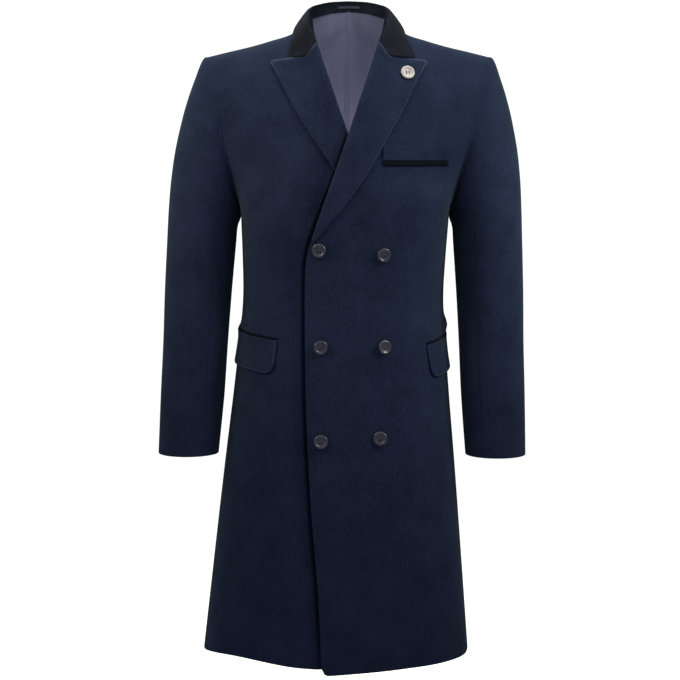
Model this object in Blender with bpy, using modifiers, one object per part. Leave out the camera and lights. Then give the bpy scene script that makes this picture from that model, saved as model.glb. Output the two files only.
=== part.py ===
"""Double-breasted overcoat, filled out as it is worn, with no wearer.

Metres, +Z up. The coat faces -Y and +X is the wearer's left. The origin is between the
shoulders, at the height where the collar lies on the shoulder seams. Every cloth piece is a
wall between an outer and an inner face. Both faces come from one form: rings up to the
armpits, then rows that rise to the shoulder seams.
"""

import math

import bmesh
import bpy
from mathutils import Vector

# Cloth
WALL = 0.0025
FACING_WALL = 0.0030
LINING_WALL = 0.0010
TRIM_WALL = 0.0018
SEAM_GAP = 0.0003
LAY_GAP = 0.0004
FACING_GAP = 0.0010
GORGE_GAP = 0.0060
COLLAR_GAP = 0.0030
COLLAR_WALL = 0.0027
SLEEVE_GAP = 0.00036

# Heights
HEM_Z = -1.026
ARMPIT_Z = -0.284
SHOULDER_TIP_Z = -0.038

# Shoulders and armholes
SHOULDER_HALF = 0.2297
ARMPIT_HALF = 0.1730
ARMHOLE_HALF_DEPTH = 0.068
CHEST_DEPTH = 0.127
BACK_DEPTH = 0.115
SWAY = 0.021
SLEEVE_SWAY = 0.0125
SKIRT_ROUNDNESS = 2.3
CHEST_ROUNDNESS = 3.1
CHEST_TURN = math.radians(42)
CHEST_TURN_RISE = 0.30
CHEST_FADE_BELOW = 0.18
CHEST_FADE_ABOVE = 0.50
ARMHOLE_SOFTNESS = 0.12

# Neck, lapels and front edges, seen from the front
NECK_HALF = 0.062
NECK_POINT_Z = 0.024
NECK_BACK_Z = 0.0407
BREAK_Z = -0.336
GORGE_Z = -0.0206
COLLAR_END_Z = -0.0455
NOTCH = (0.0705, -0.0472)
LAPEL_PEAK = (0.1265, -0.0466)
ROLL_SETBACK = 0.0030
ROLL_LIFT = 0.0030
ROLL_WIDTH = 0.016
SETBACK_START = 0.030
SETBACK_FADE = 0.020
SETBACK_NECK_FADE = 0.030
SIDE_SEAM_BACK = math.radians(24)
SIDE_SEAM_BEND = 0.25
HEM_DROP = 0.005
HEM_DROP_RISE = 0.20
HEM_DROP_WIDTH = 0.45
OVERLAP_DEEP = 0.0085
OVERLAP_SHALLOW = 0.0042
OVERLAP_RAMP = 0.060
OVERLAP_DEEP_FROM_Z = -0.46
OVERLAP_DEEP_RISE = 0.10
CENTRE_FRONT = 0.0045

# Collar section
COLLAR_FOLD_RADIUS = 0.0055
COLLAR_FALL_ROLL = 0.0025
COLLAR_SEAM_ONWARD = 0.0019
COLLAR_SEAM_OUT = 0.0006
STAND_MIDDLE = 0.55
FOLD_TURNS = (-90, -54, -18, 18, 54, 90)
FALL_PARTS = (0.2, 0.4, 0.6, 0.8, 1.0)
FOLD_INDEX = 4
GORGE_ALONG = 0.830
NOTCH_ALONG = 0.978
NOTCH_PART = 0.46

# Pockets
WELT_FRONT_X = 0.0565
WELT_SIDE_X = 0.1600
WELT_TOP_Z = -0.1850
WELT_HEIGHT = 0.0235
WELT_TRIM_HEIGHT = 0.0080
FLAP_FRONT = 0.1200
FLAP_TOP_Z = -0.4900
FLAP_LENGTH = 0.150
FLAP_HEIGHT = 0.0545
FLAP_CORNER = 0.016
# How the left and right hip flaps lie: drop of the front end, rise to the back end, slant of the front edge
FLAP_LIE = {1: (0.0150, 0.0200, 0.006), -1: (0.0053, 0.0123, 0.001)}
JET_HEIGHT = 0.0042

# Buttons and hanger loop
BUTTON_RADIUS = 0.0115
BUTTON_SIDES = 14
LAPEL_BUTTON_AT = (0.0937, -0.0672)
LOOP_END = 0.11
LOOP_LOW = 0.46
LOOP_HIGH = 0.86

# Rings below the armpits: height, half width, front depth, back depth
BODY_RINGS = (
    (HEM_Z, 0.2235, 0.162, 0.156),
    (-0.897, 0.2110, 0.152, 0.146),
    (-0.794, 0.2010, 0.145, 0.138),
    (-0.692, 0.1908, 0.139, 0.130),
    (-0.590, 0.1800, 0.133, 0.121),
    (-0.489, 0.1700, 0.127, 0.107),
    (-0.430, 0.1665, 0.124, 0.103),
    (-0.370, 0.1680, 0.125, 0.107),
    (-0.320, 0.1703, 0.1265, 0.1125),
    (ARMPIT_Z, ARMPIT_HALF, CHEST_DEPTH, BACK_DEPTH),
    (-0.220, 0.1870, CHEST_DEPTH, BACK_DEPTH),
)

# Shoulder seam: across, height. Inside the neck it runs on upwards, as the form for the neckline.
SHOULDER_SEAM = (
    (-0.020, 0.105),
    (0.000, 0.126),
    (0.020, 0.105),
    (0.040, 0.060),
    (0.062, 0.024),
    (0.075, 0.012),
    (0.094, -0.001),
    (0.126, -0.0115),
    (0.160, -0.0213),
    (0.197, -0.0300),
    (SHOULDER_HALF, SHOULDER_TIP_Z),
)

# Front edge and roll line of the front that laps over: height, place across
FRONT_EDGE = (
    (HEM_Z, -0.0437),
    (-0.900, -0.0500),
    (-0.780, -0.0600),
    (-0.660, -0.0670),
    (-0.560, -0.0700),
    (-0.380, -0.0700),
    (BREAK_Z, -0.0611),
    (GORGE_Z, 0.0509),
    (NECK_POINT_Z, NECK_HALF),
)

# Sleeve rings: along the sleeve, outer point across and up, inner point across and up, half depth, middle
SLEEVE_RINGS = (
    (0, SHOULDER_HALF, SHOULDER_TIP_Z, ARMPIT_HALF, ARMPIT_Z, ARMHOLE_HALF_DEPTH, 0.0),
    (1, SHOULDER_HALF + 0.0058, -0.0394, ARMPIT_HALF + 0.0058, -0.2854, ARMHOLE_HALF_DEPTH, 0.0),
    (2, 0.2415, -0.0485, 0.1804, -0.2885, 0.0692, 0.0),
    (3, 0.2500, -0.0715, 0.1806, -0.2925, 0.0715, 0.0),
    (4, 0.2605, -0.1015, 0.1803, -0.2965, 0.0738, 0.0),
    (5, 0.2705, -0.1370, 0.1797, -0.3010, 0.0750, 0.0),
    (6, 0.2817, -0.1900, 0.1790, -0.3060, 0.0752, -0.001),
    (7, 0.2880, -0.2390, 0.1786, -0.3120, 0.0748, -0.002),
    (8, 0.2915, -0.2890, 0.1784, -0.3220, 0.0735, -0.003),
    (9, 0.2938, -0.3420, 0.1796, -0.3450, 0.0708, -0.005),
    (10, 0.2970, -0.4220, 0.1857, -0.4220, 0.0650, -0.009),
    (11, 0.2987, -0.5050, 0.1912, -0.5050, 0.0595, -0.016),
    (12, 0.3020, -0.5950, 0.1963, -0.5950, 0.0540, -0.024),
    (13, 0.3046, -0.6900, 0.2046, -0.6900, 0.0492, -0.033),
)
SLEEVE_SEAM = math.radians(118)

# Lapel outer edge, seen from the front: along the roll line from the break, across, up
LAPEL_EDGE = (
    (0.00, -0.0560, -0.3345),
    (0.20, -0.0180, -0.2930),
    (0.40, 0.0255, -0.2338),
    (0.60, 0.0575, -0.1790),
    (0.80, 0.0925, -0.1150),
    (1.00, *LAPEL_PEAK),
)

# Collar fold from the centre back to the front end: along, across, back, up
COLLAR_FOLD = (
    (0.00, 0.0000, 0.0800, 0.0590),
    (0.15, 0.0295, 0.0720, 0.0568),
    (0.30, 0.0500, 0.0460, 0.0505),
    (0.45, 0.0580, 0.0120, 0.0435),
    (0.58, 0.0592, -0.0230, 0.0315),
    (0.72, 0.0585, -0.0585, 0.0080),
    (0.86, 0.0505, -0.0795, GORGE_Z),
    (1.00, 0.0411, -0.0955, COLLAR_END_Z),
)

# Collar outer edge: along, across, rise (below 1 on the back, 1 on the shoulder seam, more in front)
COLLAR_EDGE = (
    (0.00, 0.0000, 0.700),
    (0.075, 0.0170, 0.724),
    (0.15, 0.0340, 0.795),
    (0.225, 0.0505, 0.866),
    (0.30, 0.0645, 0.920),
    (0.45, 0.0825, 0.985),
    (0.58, 0.0905, 1.035),
    (0.72, 0.0955, 1.075),
    (0.86, 0.1000, 1.105),
    (1.00, 0.1030, 1.140),
)

# Height of the neckline in front of the shoulder seam: along the collar, up
COLLAR_NECK = (
    (0.50, 0.0240),
    (0.54, 0.0232),
    (0.58, 0.0190),
    (0.65, 0.0090),
    (0.72, -0.0005),
    (0.86, GORGE_Z),
    (1.00, COLLAR_END_Z),
)

# Front buttons, sewn on a little unevenly: across, up
BUTTON_PLACES = (
    (-0.0478, -0.3495),
    (0.0554, -0.3567),
    (-0.0455, -0.5044),
    (0.0568, -0.5044),
    (-0.0452, -0.6558),
    (0.0504, -0.6506),
)

# Half profile of a button, from the middle of its face to the middle of its back
BUTTON_PROFILE = (
    (0.0, 0.0026),
    (0.0070, 0.0026),
    (0.0088, 0.0038),
    (0.0106, 0.0038),
    (BUTTON_RADIUS, 0.0024),
    (0.0098, 0.0),
    (0.0, 0.0),
)

# Materials: colour, roughness
WOOL = ("navy wool", (0.014, 0.018, 0.038), 0.92)
VELVET = ("black velvet", (0.008, 0.008, 0.011), 0.95)
SATIN = ("grey satin", (0.085, 0.082, 0.130), 0.45)
TAPE = ("grey tape", (0.11, 0.11, 0.13), 0.70)
HORN = ("dark button", (0.030, 0.032, 0.042), 0.35)
IVORY = ("pale button", (0.70, 0.66, 0.58), 0.35)

FRONT = -1
BACK = 1

# Where the columns and rows of the pieces lie
UPPER_ROWS = 11
LOWER_ROWS_Z = (HEM_Z, -0.94, -0.85, -0.76, -0.68, -0.61, -0.56, -0.525, -0.49, -0.455, -0.42, -0.375, -0.33)
FRONT_COLUMNS = (0, 0.05, 0.1, 0.15, 0.2, 0.26, 0.32, 0.38, 0.44, 0.5, 0.56, 0.62, 0.69, 0.76, 0.83, 0.91, 1)
NECK_COLUMNS_X = (0, 0.012, 0.022, 0.032, 0.042, 0.051, 0.058)
BACK_COLUMNS_X = (*NECK_COLUMNS_X, NECK_HALF, 0.072, 0.083, 0.096, 0.118, 0.152, 0.192, SHOULDER_HALF)
CENTRE_SEAM_COLUMN = 0.0012
LINING_FIRST_ROW = 9
SLEEVE_ROWS = (0, 0.5, 1, 1.5, 2, 2.5, 3, 3.5, 4, 5, 6, 7, 8, 8.6, 9.3, 10, 10.7, 11.4, 12.2, 13)
LAPEL_COLUMNS = (0, 0.06, 0.2, 0.297, 0.45, 0.62, 0.8, 1)
LAPEL_ROWS = 14
LAPEL_BEND_FROM = 0.62
COLLAR_BACK_STATIONS = (0, 0.06, 0.13, 0.20, 0.27, 0.33, 0.38, 0.42, 0.45, 0.475)
COLLAR_STATIONS = (*COLLAR_BACK_STATIONS, 0.50, 0.53, 0.57, 0.63, 0.71, 0.80, 0.9, 1)


def soft_step(value):
    """0 below 0, 1 above 1 and a smooth rise between."""
    value = min(1.0, max(0.0, value))
    return value * value * (3 - 2 * value)


def smooth(rows, place):
    """The other columns of a table where its first has this value, on a smooth curve through its rows."""
    last = len(rows) - 2
    index = 0
    while index < last and place > rows[index + 1][0]:
        index += 1
    low, high = rows[index], rows[index + 1]
    before, after = rows[max(index - 1, 0)], rows[min(index + 2, last + 1)]
    span = high[0] - low[0]
    part = (place - low[0]) / span
    found = []
    for start, end, earlier, later in zip(low[1:], high[1:], before[1:], after[1:]):
        leave = (end - earlier) / (high[0] - before[0]) * span
        arrive = (later - start) / (after[0] - low[0]) * span
        rise = part * part * (3 - 2 * part)
        bend = part * (1 - part) * ((1 - part) * leave - part * arrive)
        found.append(start + (end - start) * rise + bend)
    return found


def oval(angle, level):
    """Across and forward on a squared oval of half width 1, squarer round the chest."""
    chest = soft_step(1 + level / CHEST_FADE_BELOW) * (1 - soft_step(level / CHEST_FADE_ABOVE))
    power = SKIRT_ROUNDNESS + (CHEST_ROUNDNESS - SKIRT_ROUNDNESS) * chest
    across, forward = math.sin(angle), math.cos(angle)
    size = (abs(across) ** power + abs(forward) ** power) ** (-1 / power)
    return across * size, forward * size


def oval_angle(across, level):
    """The angle on that oval at a place across it, by halving."""
    low, high = -math.pi / 2, math.pi / 2
    for _ in range(40):
        middle = (low + high) / 2
        if oval(middle, level)[0] < across:
            low = middle
        else:
            high = middle
    return low


def ridge_z(across):
    """Height of the shoulder seam, which rises into the neck."""
    return smooth(SHOULDER_SEAM, abs(across))[0]


def level_z(level):
    """Height of a row below the armpits."""
    return ARMPIT_Z + level * (ARMPIT_Z - HEM_Z)


def z_level(z):
    """The level of a height below the armpits."""
    return (z - ARMPIT_Z) / (ARMPIT_Z - HEM_Z)


def chest_turn(level):
    """How far a row above the armpits turns round from the middle to the armhole."""
    return math.pi / 2 - CHEST_TURN * soft_step(level / CHEST_TURN_RISE)


def row_half(level):
    return ARMPIT_HALF + (SHOULDER_HALF - ARMPIT_HALF) * level


def swayed(x, y, z):
    """A point of the coat, which hangs a little to one side."""
    return Vector((x + SWAY * min(0.0, z), y, z))


def body(angle, level, face):
    """A point of the outer form. level is -1 at the hem, 0 at the armpits and 1 on the shoulder seam."""
    if level <= 0:
        z = level_z(level)
        half, front, back = smooth(BODY_RINGS, z)
        across, forward = oval(angle, level)
        depth = front if face * forward < 0 else back
        return swayed(half * across, face * depth * forward, z)
    turn = chest_turn(level)
    across, forward = oval(angle * turn / (math.pi / 2), level)
    end_across, end_forward = oval(turn, level)
    part = across / end_across
    middle = (CHEST_DEPTH if face == FRONT else BACK_DEPTH) * math.sqrt(max(0.0, 1 - level * level))
    outward = min(1.0, (1 - forward) / (1 - end_forward))
    opened = level**3 / (level**2 + ARMHOLE_SOFTNESS * (1 - outward) ** 2)
    edge = 2 * ARMHOLE_HALF_DEPTH * math.sqrt(max(0.0, opened * (1 - level)))
    depth = middle + (edge - middle) * outward
    z = ARMPIT_Z + level * (ridge_z(SHOULDER_HALF * part) - ARMPIT_Z)
    return swayed(row_half(level) * part, face * (depth + SEAM_GAP / 2 * level), z)


def body_normal(angle, level, face):
    """The outward direction of the form."""
    step = 0.0005
    low, high = max(-1.0, level - step), min(1.0, level + step)
    if low < 0 <= level < step:
        high = level
    across = body(angle + step, level, face) - body(angle - step, level, face)
    along = body(angle, high, face) - body(angle, low, face)
    return (across.cross(along) * -face).normalized()


def on_body(angle, level, face, out):
    """A point of the form, moved out along its normal."""
    return body(angle, level, face) + body_normal(angle, level, face) * out


def row_angle(x, level):
    """The angle of a row above the armpits at a place across, before the coat's lean."""
    turn = chest_turn(level)
    part = x / row_half(level)
    return oval_angle(part * oval(turn, level)[0], level) / turn * (math.pi / 2)


def seen_from_front(x, z):
    """The angle and level of the front at a place across and up."""
    x -= SWAY * min(0.0, z)
    if z <= ARMPIT_Z:
        half = smooth(BODY_RINGS, z)[0]
        return oval_angle(x / half, z_level(z)), z_level(z)
    level = 0.5
    for _ in range(12):
        ridge = ridge_z(SHOULDER_HALF * x / row_half(level))
        level = min(1.0, max(0.0, (z - ARMPIT_Z) / (ridge - ARMPIT_Z)))
    return row_angle(x, level), level


def under_front(x, z, out):
    """The angle and level from which a point moved out from the front is seen at a place across and up."""
    under_x, under_z = x, z
    for _ in range(4):
        angle, level = seen_from_front(under_x, under_z)
        point = on_body(angle, level, FRONT, out)
        under_x += x - point.x
        under_z += z - point.z
    return angle, level


def roll_x(z):
    """Where the front that laps over ends: its front edge, roll line and neck."""
    return smooth(FRONT_EDGE, z)[0]


def panel_edge_x(z):
    """The front edge of the cloth, set back inside the turned lapel."""
    above_break = soft_step((z - BREAK_Z + SETBACK_START) / SETBACK_FADE)
    below_neck = soft_step((FRONT_EDGE[-1][0] - z) / SETBACK_NECK_FADE)
    return roll_x(z) + ROLL_SETBACK * above_break * below_neck


def edge_angle(level, side):
    """The angle at which a row meets the front edge, by halving."""
    low, high = -math.radians(80), math.radians(80)
    for _ in range(40):
        middle = (low + high) / 2
        point = body(middle * side, level, FRONT)
        if point.x * side < panel_edge_x(point.z):
            low = middle
        else:
            high = middle
    return low


def side_angle(level):
    """The angle of the side seam from the middle of the front. It meets the armpit at a right angle."""
    return math.pi / 2 + SIDE_SEAM_BACK * soft_step(-level / SIDE_SEAM_BEND)


def overlap_dip(x, z):
    """How far the under front lies inside the form where the other front covers it."""
    upper = soft_step((z - OVERLAP_DEEP_FROM_Z) / OVERLAP_DEEP_RISE)
    deepest = OVERLAP_SHALLOW + (OVERLAP_DEEP - OVERLAP_SHALLOW) * upper
    return deepest * soft_step((x - roll_x(z) + OVERLAP_RAMP) / OVERLAP_RAMP)


def neck_top(column):
    """The highest row of a back at a column, lowered along the neckline."""
    turn = chest_turn(1)
    across = SHOULDER_HALF * oval(column * turn, 1)[0] / oval(turn, 1)[0]
    inside = 1 - (across / NECK_HALF) ** 2
    if inside <= 0:
        return 1.0
    neck_z = NECK_POINT_Z + (NECK_BACK_Z - NECK_POINT_Z) * inside
    return (neck_z - ARMPIT_Z) / (ridge_z(across) - ARMPIT_Z)


def neck_column():
    """The column of a back that meets the neck point."""
    return row_angle(NECK_HALF, 1) / (math.pi / 2)


def sleeve(angle, along, side):
    """A point of a sleeve. angle is 0 on the outside of the arm and grows towards the front."""
    top_x, top_z, under_x, under_z, depth, middle = smooth(SLEEVE_RINGS, along)
    part = (1 + math.cos(angle)) / 2
    x = under_x + (top_x - under_x) * part + SLEEVE_GAP
    z = under_z + (top_z - under_z) * part
    sway = SWAY * max(z, ARMPIT_Z) + SLEEVE_SWAY * min(0.0, z - ARMPIT_Z)
    return Vector((side * x + sway, middle - depth * math.sin(angle), z))


def on_sleeve(angle, along, side, out):
    step = 0.002
    low, high = max(0.0, along - step), min(SLEEVE_RINGS[-1][0], along + step)
    round_arm = sleeve(angle + step, along, side) - sleeve(angle - step, along, side)
    down_arm = sleeve(angle, high, side) - sleeve(angle, low, side)
    return sleeve(angle, along, side) + round_arm.cross(down_arm).normalized() * side * out


def material(finish):
    name, colour, roughness = finish
    made = bpy.data.materials.get(name)
    if made:
        return made
    made = bpy.data.materials.new(name)
    made.use_nodes = True
    shader = made.node_tree.nodes["Principled BSDF"]
    shader.inputs["Base Color"].default_value = (*colour, 1)
    shader.inputs["Roughness"].default_value = roughness
    shader.inputs["Metallic"].default_value = 0
    made.diffuse_color = (*colour, 1)
    return made


def add_piece(name, mesh, finish):
    mesh.materials.append(material(finish))
    mesh.shade_smooth()
    piece = bpy.data.objects.new(name, mesh)
    coat.objects.link(piece)
    piece.parent = held
    return piece


def add_wall(name, columns, rows, place, wall, finish):
    """A cloth wall on a grid. place gives its point at a column and row, at a depth under the outer face."""
    grid = bmesh.new()
    bmesh.ops.create_grid(grid, x_segments=columns, y_segments=rows, size=0.5)
    inner = bmesh.ops.extrude_face_region(grid, geom=grid.faces[:], use_keep_orig=True)["geom"]
    inner = {part for part in inner if isinstance(part, bmesh.types.BMVert)}
    for vert in grid.verts:
        column, row = vert.co.x + 0.5, vert.co.y + 0.5
        vert.co = place(column, row, wall if vert in inner else 0.0)
    bmesh.ops.recalc_face_normals(grid, faces=grid.faces[:])
    if grid.calc_volume(signed=True) < 0:
        bmesh.ops.reverse_faces(grid, faces=grid.faces[:])
    mesh = bpy.data.meshes.new(name)
    grid.to_mesh(mesh)
    grid.free()
    return add_piece(name, mesh, finish)


LEVELS = [z_level(z) for z in LOWER_ROWS_Z]
LEVELS += [(1 - math.cos(math.pi * row / UPPER_ROWS)) / 2 for row in range(UPPER_ROWS + 1)]


def row_level(row):
    return LEVELS[round(row * (len(LEVELS) - 1))]


def add_front(name, side):
    edges = {level: edge_angle(level, side) for level in LEVELS}
    seam = SEAM_GAP / ARMPIT_HALF

    def place(column, row, depth):
        level = row_level(row)
        end = side_angle(level) - (seam if level <= 0 else 0)
        part = FRONT_COLUMNS[round(column * (len(FRONT_COLUMNS) - 1))]
        angle = (edges[level] + (end - edges[level]) * part) * side
        point = body(angle, level, FRONT)
        dip = overlap_dip(point.x, point.z) if side < 0 else 0
        drop = 0.0
        if side > 0:
            low = soft_step((-level - 1 + HEM_DROP_RISE) / HEM_DROP_RISE)
            drop = HEM_DROP * low * (1 - soft_step(part / HEM_DROP_WIDTH))
        return on_body(angle, level, FRONT, -depth - dip) - Vector((0, 0, drop))

    add_wall(name, len(FRONT_COLUMNS) - 1, len(LEVELS) - 1, place, WALL, WOOL)


def back_columns():
    """Columns of a back from the centre seam, with one at the neck point."""
    return [row_angle(x, 1) / (math.pi / 2) for x in BACK_COLUMNS_X]


def on_back(column, row, out):
    """A point on a back at a column from the centre seam, negative on the right back."""
    level = row_level(row)
    if level > 0:
        level *= neck_top(abs(column))
    seam = SEAM_GAP / ARMPIT_HALF
    end = math.pi - side_angle(level) - (seam if level <= 0 else 0)
    return on_body(end * column, level, BACK, out)


def add_back(name, side):
    columns = back_columns()
    columns[0] = CENTRE_SEAM_COLUMN
    if side < 0:
        columns = [-column for column in columns[::-1]]

    def place(column, row, depth):
        return on_back(columns[round(column * (len(columns) - 1))], row, -depth)

    add_wall(name, len(columns) - 1, len(LEVELS) - 1, place, WALL, WOOL)


def add_sleeve(name, side, start, end, columns):
    seam = SEAM_GAP / (2 * SLEEVE_RINGS[-1][5])

    def place(column, row, depth):
        angle = start + seam + (end - start - 2 * seam) * column
        return on_sleeve(angle, SLEEVE_ROWS[round(row * (len(SLEEVE_ROWS) - 1))], side, -depth)

    add_wall(name, columns, len(SLEEVE_ROWS) - 1, place, WALL, WOOL)


def lapel_place(column, row, side):
    """Across and up on a lapel, seen from the front. column is 0 on the roll line, row 0 at the break."""
    z = BREAK_Z + (GORGE_Z - GORGE_GAP - BREAK_Z) * row
    roll = Vector((roll_x(z), z))
    edge = Vector(smooth(LAPEL_EDGE, row))
    notch = Vector(NOTCH)
    top_start, top_end = Vector((roll_x(z), GORGE_Z - GORGE_GAP)), Vector(LAPEL_PEAK)
    notch_column = (notch.x - top_start.x) / (top_end.x - top_start.x)
    if column < notch_column:
        top = top_start.lerp(notch, column / notch_column)
    else:
        top = notch.lerp(top_end, (column - notch_column) / (1 - notch_column))
    bend = top - top_start.lerp(top_end, column)
    place = roll.lerp(edge, column) + bend * soft_step((row - LAPEL_BEND_FROM) / (1 - LAPEL_BEND_FROM))
    return place.x * side, place.y


def lapel_out(x, z, side):
    """How far the lapel's outer face stands off: more along the soft roll, less where it is covered."""
    from_roll = max(0.0, x * side - roll_x(z))
    lift = ROLL_LIFT * math.exp(-((from_roll / ROLL_WIDTH) ** 2))
    if side > 0:
        return FACING_GAP + FACING_WALL + lift
    covered = soft_step((x - roll_x(z) + OVERLAP_RAMP) / OVERLAP_RAMP)
    return FACING_GAP + FACING_WALL + lift * (1 - covered) - overlap_dip(x, z)


def add_lapel(name, side):

    def place(column, row, depth):
        column = LAPEL_COLUMNS[round(column * (len(LAPEL_COLUMNS) - 1))]
        x, z = lapel_place(column, row, side)
        out = lapel_out(x, z, side)
        angle, level = under_front(x, z, out)
        if depth and column == 0:
            depth = out + WALL + (overlap_dip(x, z) if side < 0 else 0)
        return on_body(angle, level, FRONT, out - depth)

    add_wall(name, len(LAPEL_COLUMNS) - 1, LAPEL_ROWS, place, FACING_WALL, WOOL)


def over_shoulder(x, rise, out):
    """A point off the form at a place across. rise is 1 on the shoulder seam, less behind, more in front."""
    face = BACK if rise <= 1 else FRONT
    level = rise if rise <= 1 else 2 - rise
    return on_body(row_angle(x, level), level, face, out)


def neck_edge(along):
    """The inner rim of the neckline, its outward direction and the way its cloth runs on."""
    if along <= 0.5:
        column = neck_column() * math.sin(math.pi * along)
        angle, level, face = column * math.pi / 2, neck_top(column), BACK
    else:
        z = smooth(COLLAR_NECK, along)[0]
        angle, level = seen_from_front(panel_edge_x(z), z)
        face = FRONT
    normal = body_normal(angle, level, face)
    rim = body(angle, level, face) - normal * WALL
    step = 0.01
    onward = body(angle - step, level, face) - body(angle, level, face)
    if along <= 0.5:
        onward += body(angle, min(1.0, level + step), face) - body(angle, level, face)
    return rim, normal, onward.normalized()


def collar_section(along):
    """The visible face of the collar at one station, from the stand up over the fold and down the fall."""
    fold = Vector(smooth(COLLAR_FOLD, along))
    edge = over_shoulder(*smooth(COLLAR_EDGE, along), COLLAR_GAP + FACING_WALL)
    rim, normal, onward = neck_edge(along)
    seam = rim + onward * COLLAR_SEAM_ONWARD + normal * COLLAR_SEAM_OUT
    upward = (fold - (seam + edge) / 2).normalized()
    outward = edge - seam
    outward = (outward - upward * outward.dot(upward)).normalized()
    middle = fold - upward * COLLAR_FOLD_RADIUS
    stand_top = middle - outward * COLLAR_FOLD_RADIUS
    points = [(seam, -normal), (seam.lerp(stand_top, STAND_MIDDLE), -(normal + outward).normalized())]
    for turn in FOLD_TURNS:
        side = math.sin(math.radians(turn)) * outward + math.cos(math.radians(turn)) * upward
        points.append((middle + side * COLLAR_FOLD_RADIUS, side))
    start = points[-1][0]
    facing = (edge - start).cross(outward.cross(upward)).normalized()
    if facing.dot(outward) < 0:
        facing = -facing
    for part in FALL_PARTS:
        roll = COLLAR_FALL_ROLL * math.sin(math.pi * part)
        points.append((start.lerp(edge, part) + facing * roll, facing))
    return points


def collar_end(part):
    """How far to the front a strip of the collar runs: to the gorge seam, the notch, then its own end."""
    return GORGE_ALONG + (NOTCH_ALONG - GORGE_ALONG) * min(1.0, max(0.0, part) / NOTCH_PART)


def add_collar():
    half = [place * collar_end(1) for place in COLLAR_STATIONS]
    stations = [-place for place in half[:0:-1]] + half
    last = len(collar_section(0)) - 1

    def place(column, row, depth):
        station = stations[round(column * (len(stations) - 1))]
        side = 1 if station >= 0 else -1
        index = round(row * last)
        along = abs(station) * collar_end((index - FOLD_INDEX) / (last - FOLD_INDEX)) / collar_end(1)
        point, facing = collar_section(along)[index]
        point = point - facing * depth
        return Vector((point.x * side, point.y, point.z))

    add_wall("collar", len(stations) - 1, last, place, COLLAR_WALL, VELVET)


def add_lining():
    """A half lining inside the backs, on their own columns and rows."""
    half = back_columns()[:-1]
    columns = [-column for column in half[:0:-1]] + half
    last_row = len(LEVELS) - 1

    def place(column, row, depth):
        column = columns[round(column * (len(columns) - 1))]
        row = (LINING_FIRST_ROW + row * (last_row - LINING_FIRST_ROW)) / last_row
        return on_back(column, row, -WALL - LAY_GAP - depth)

    add_wall("back_lining", len(columns) - 1, last_row - LINING_FIRST_ROW, place, LINING_WALL, SATIN)


def add_hanger_loop():
    """A narrow tape along the inside of the collar stand."""

    def place(column, row, depth):
        side = 1 if column >= 0.5 else -1
        section = collar_section(abs(column - 0.5) * 2 * LOOP_END)
        low, facing = section[0]
        high = section[2][0]
        point = low.lerp(high, LOOP_LOW + (LOOP_HIGH - LOOP_LOW) * row)
        point = point + facing * (LAY_GAP * 2 + LINING_WALL - depth)
        return Vector((point.x * side, point.y, point.z))

    add_wall("hanger_loop", 6, 1, place, LINING_WALL, TAPE)


def add_patch(name, low_z, high_z, finish):
    """A flat strip of the breast pocket, between two heights."""

    def place(column, row, depth):
        x, z = WELT_FRONT_X + (WELT_SIDE_X - WELT_FRONT_X) * column, low_z + (high_z - low_z) * row
        angle, level = under_front(x, z, FACING_GAP + TRIM_WALL)
        return on_body(angle, level, FRONT, FACING_GAP + TRIM_WALL - depth)

    add_wall(name, 8, 2, place, TRIM_WALL, finish)


def flap_angles(side):
    """Angles along a hip flap, evenly spaced by length round the body."""
    level = z_level(FLAP_TOP_Z)
    start = seen_from_front(CENTRE_FRONT + side * FLAP_FRONT, FLAP_TOP_Z)[0]
    angles, length, step = [start], 0.0, 0.002
    while length < FLAP_LENGTH:
        following = angles[-1] + side * step
        length += (body(following, level, FRONT) - body(angles[-1], level, FRONT)).length
        angles.append(following)
    return angles


def add_hip_pocket(name, jet_name, side):
    angles = flap_angles(side)
    front_drop, back_rise, front_slant = FLAP_LIE[side]

    def top_z(column):
        return FLAP_TOP_Z - front_drop + back_rise * column

    def round_body(along, z, out):
        angle = angles[round(along * (len(angles) - 1))]
        return on_body(angle, z_level(z), FRONT, out)

    def flap_place(column, row, depth):
        from_end = min(column, 1 - column) * FLAP_LENGTH
        cut = max(0.0, FLAP_CORNER - from_end)
        height = FLAP_HEIGHT - (FLAP_CORNER - math.sqrt(FLAP_CORNER**2 - cut**2))
        slant = front_slant / FLAP_LENGTH * (1 - row) * (1 - column)
        z = top_z(column) - height * (1 - row)
        return round_body(min(1.0, column + slant), z, LAY_GAP + WALL - depth)

    def jet_place(column, row, depth):
        z = top_z(column) + LAY_GAP + JET_HEIGHT * row
        return round_body(column, z, LAY_GAP + TRIM_WALL - depth)

    add_wall(name, 12, 4, flap_place, WALL, WOOL)
    add_wall(jet_name, 10, 1, jet_place, TRIM_WALL, VELVET)


def add_button(name, point, facing, finish):
    """A turned button with its back on the cloth."""
    mesh = bpy.data.meshes.new(name)
    edges = [(index, index + 1) for index in range(len(BUTTON_PROFILE) - 1)]
    mesh.from_pydata([(radius, 0, height) for radius, height in BUTTON_PROFILE], edges, [])
    button = add_piece(name, mesh, finish)
    button.location = point
    button.rotation_mode = "QUATERNION"
    button.rotation_quaternion = facing.to_track_quat("Z", "Y")
    turned = button.modifiers.new("turned", "SCREW")
    turned.steps = turned.render_steps = BUTTON_SIDES
    turned.use_merge_vertices = True
    turned.merge_threshold = 0.00001


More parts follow.
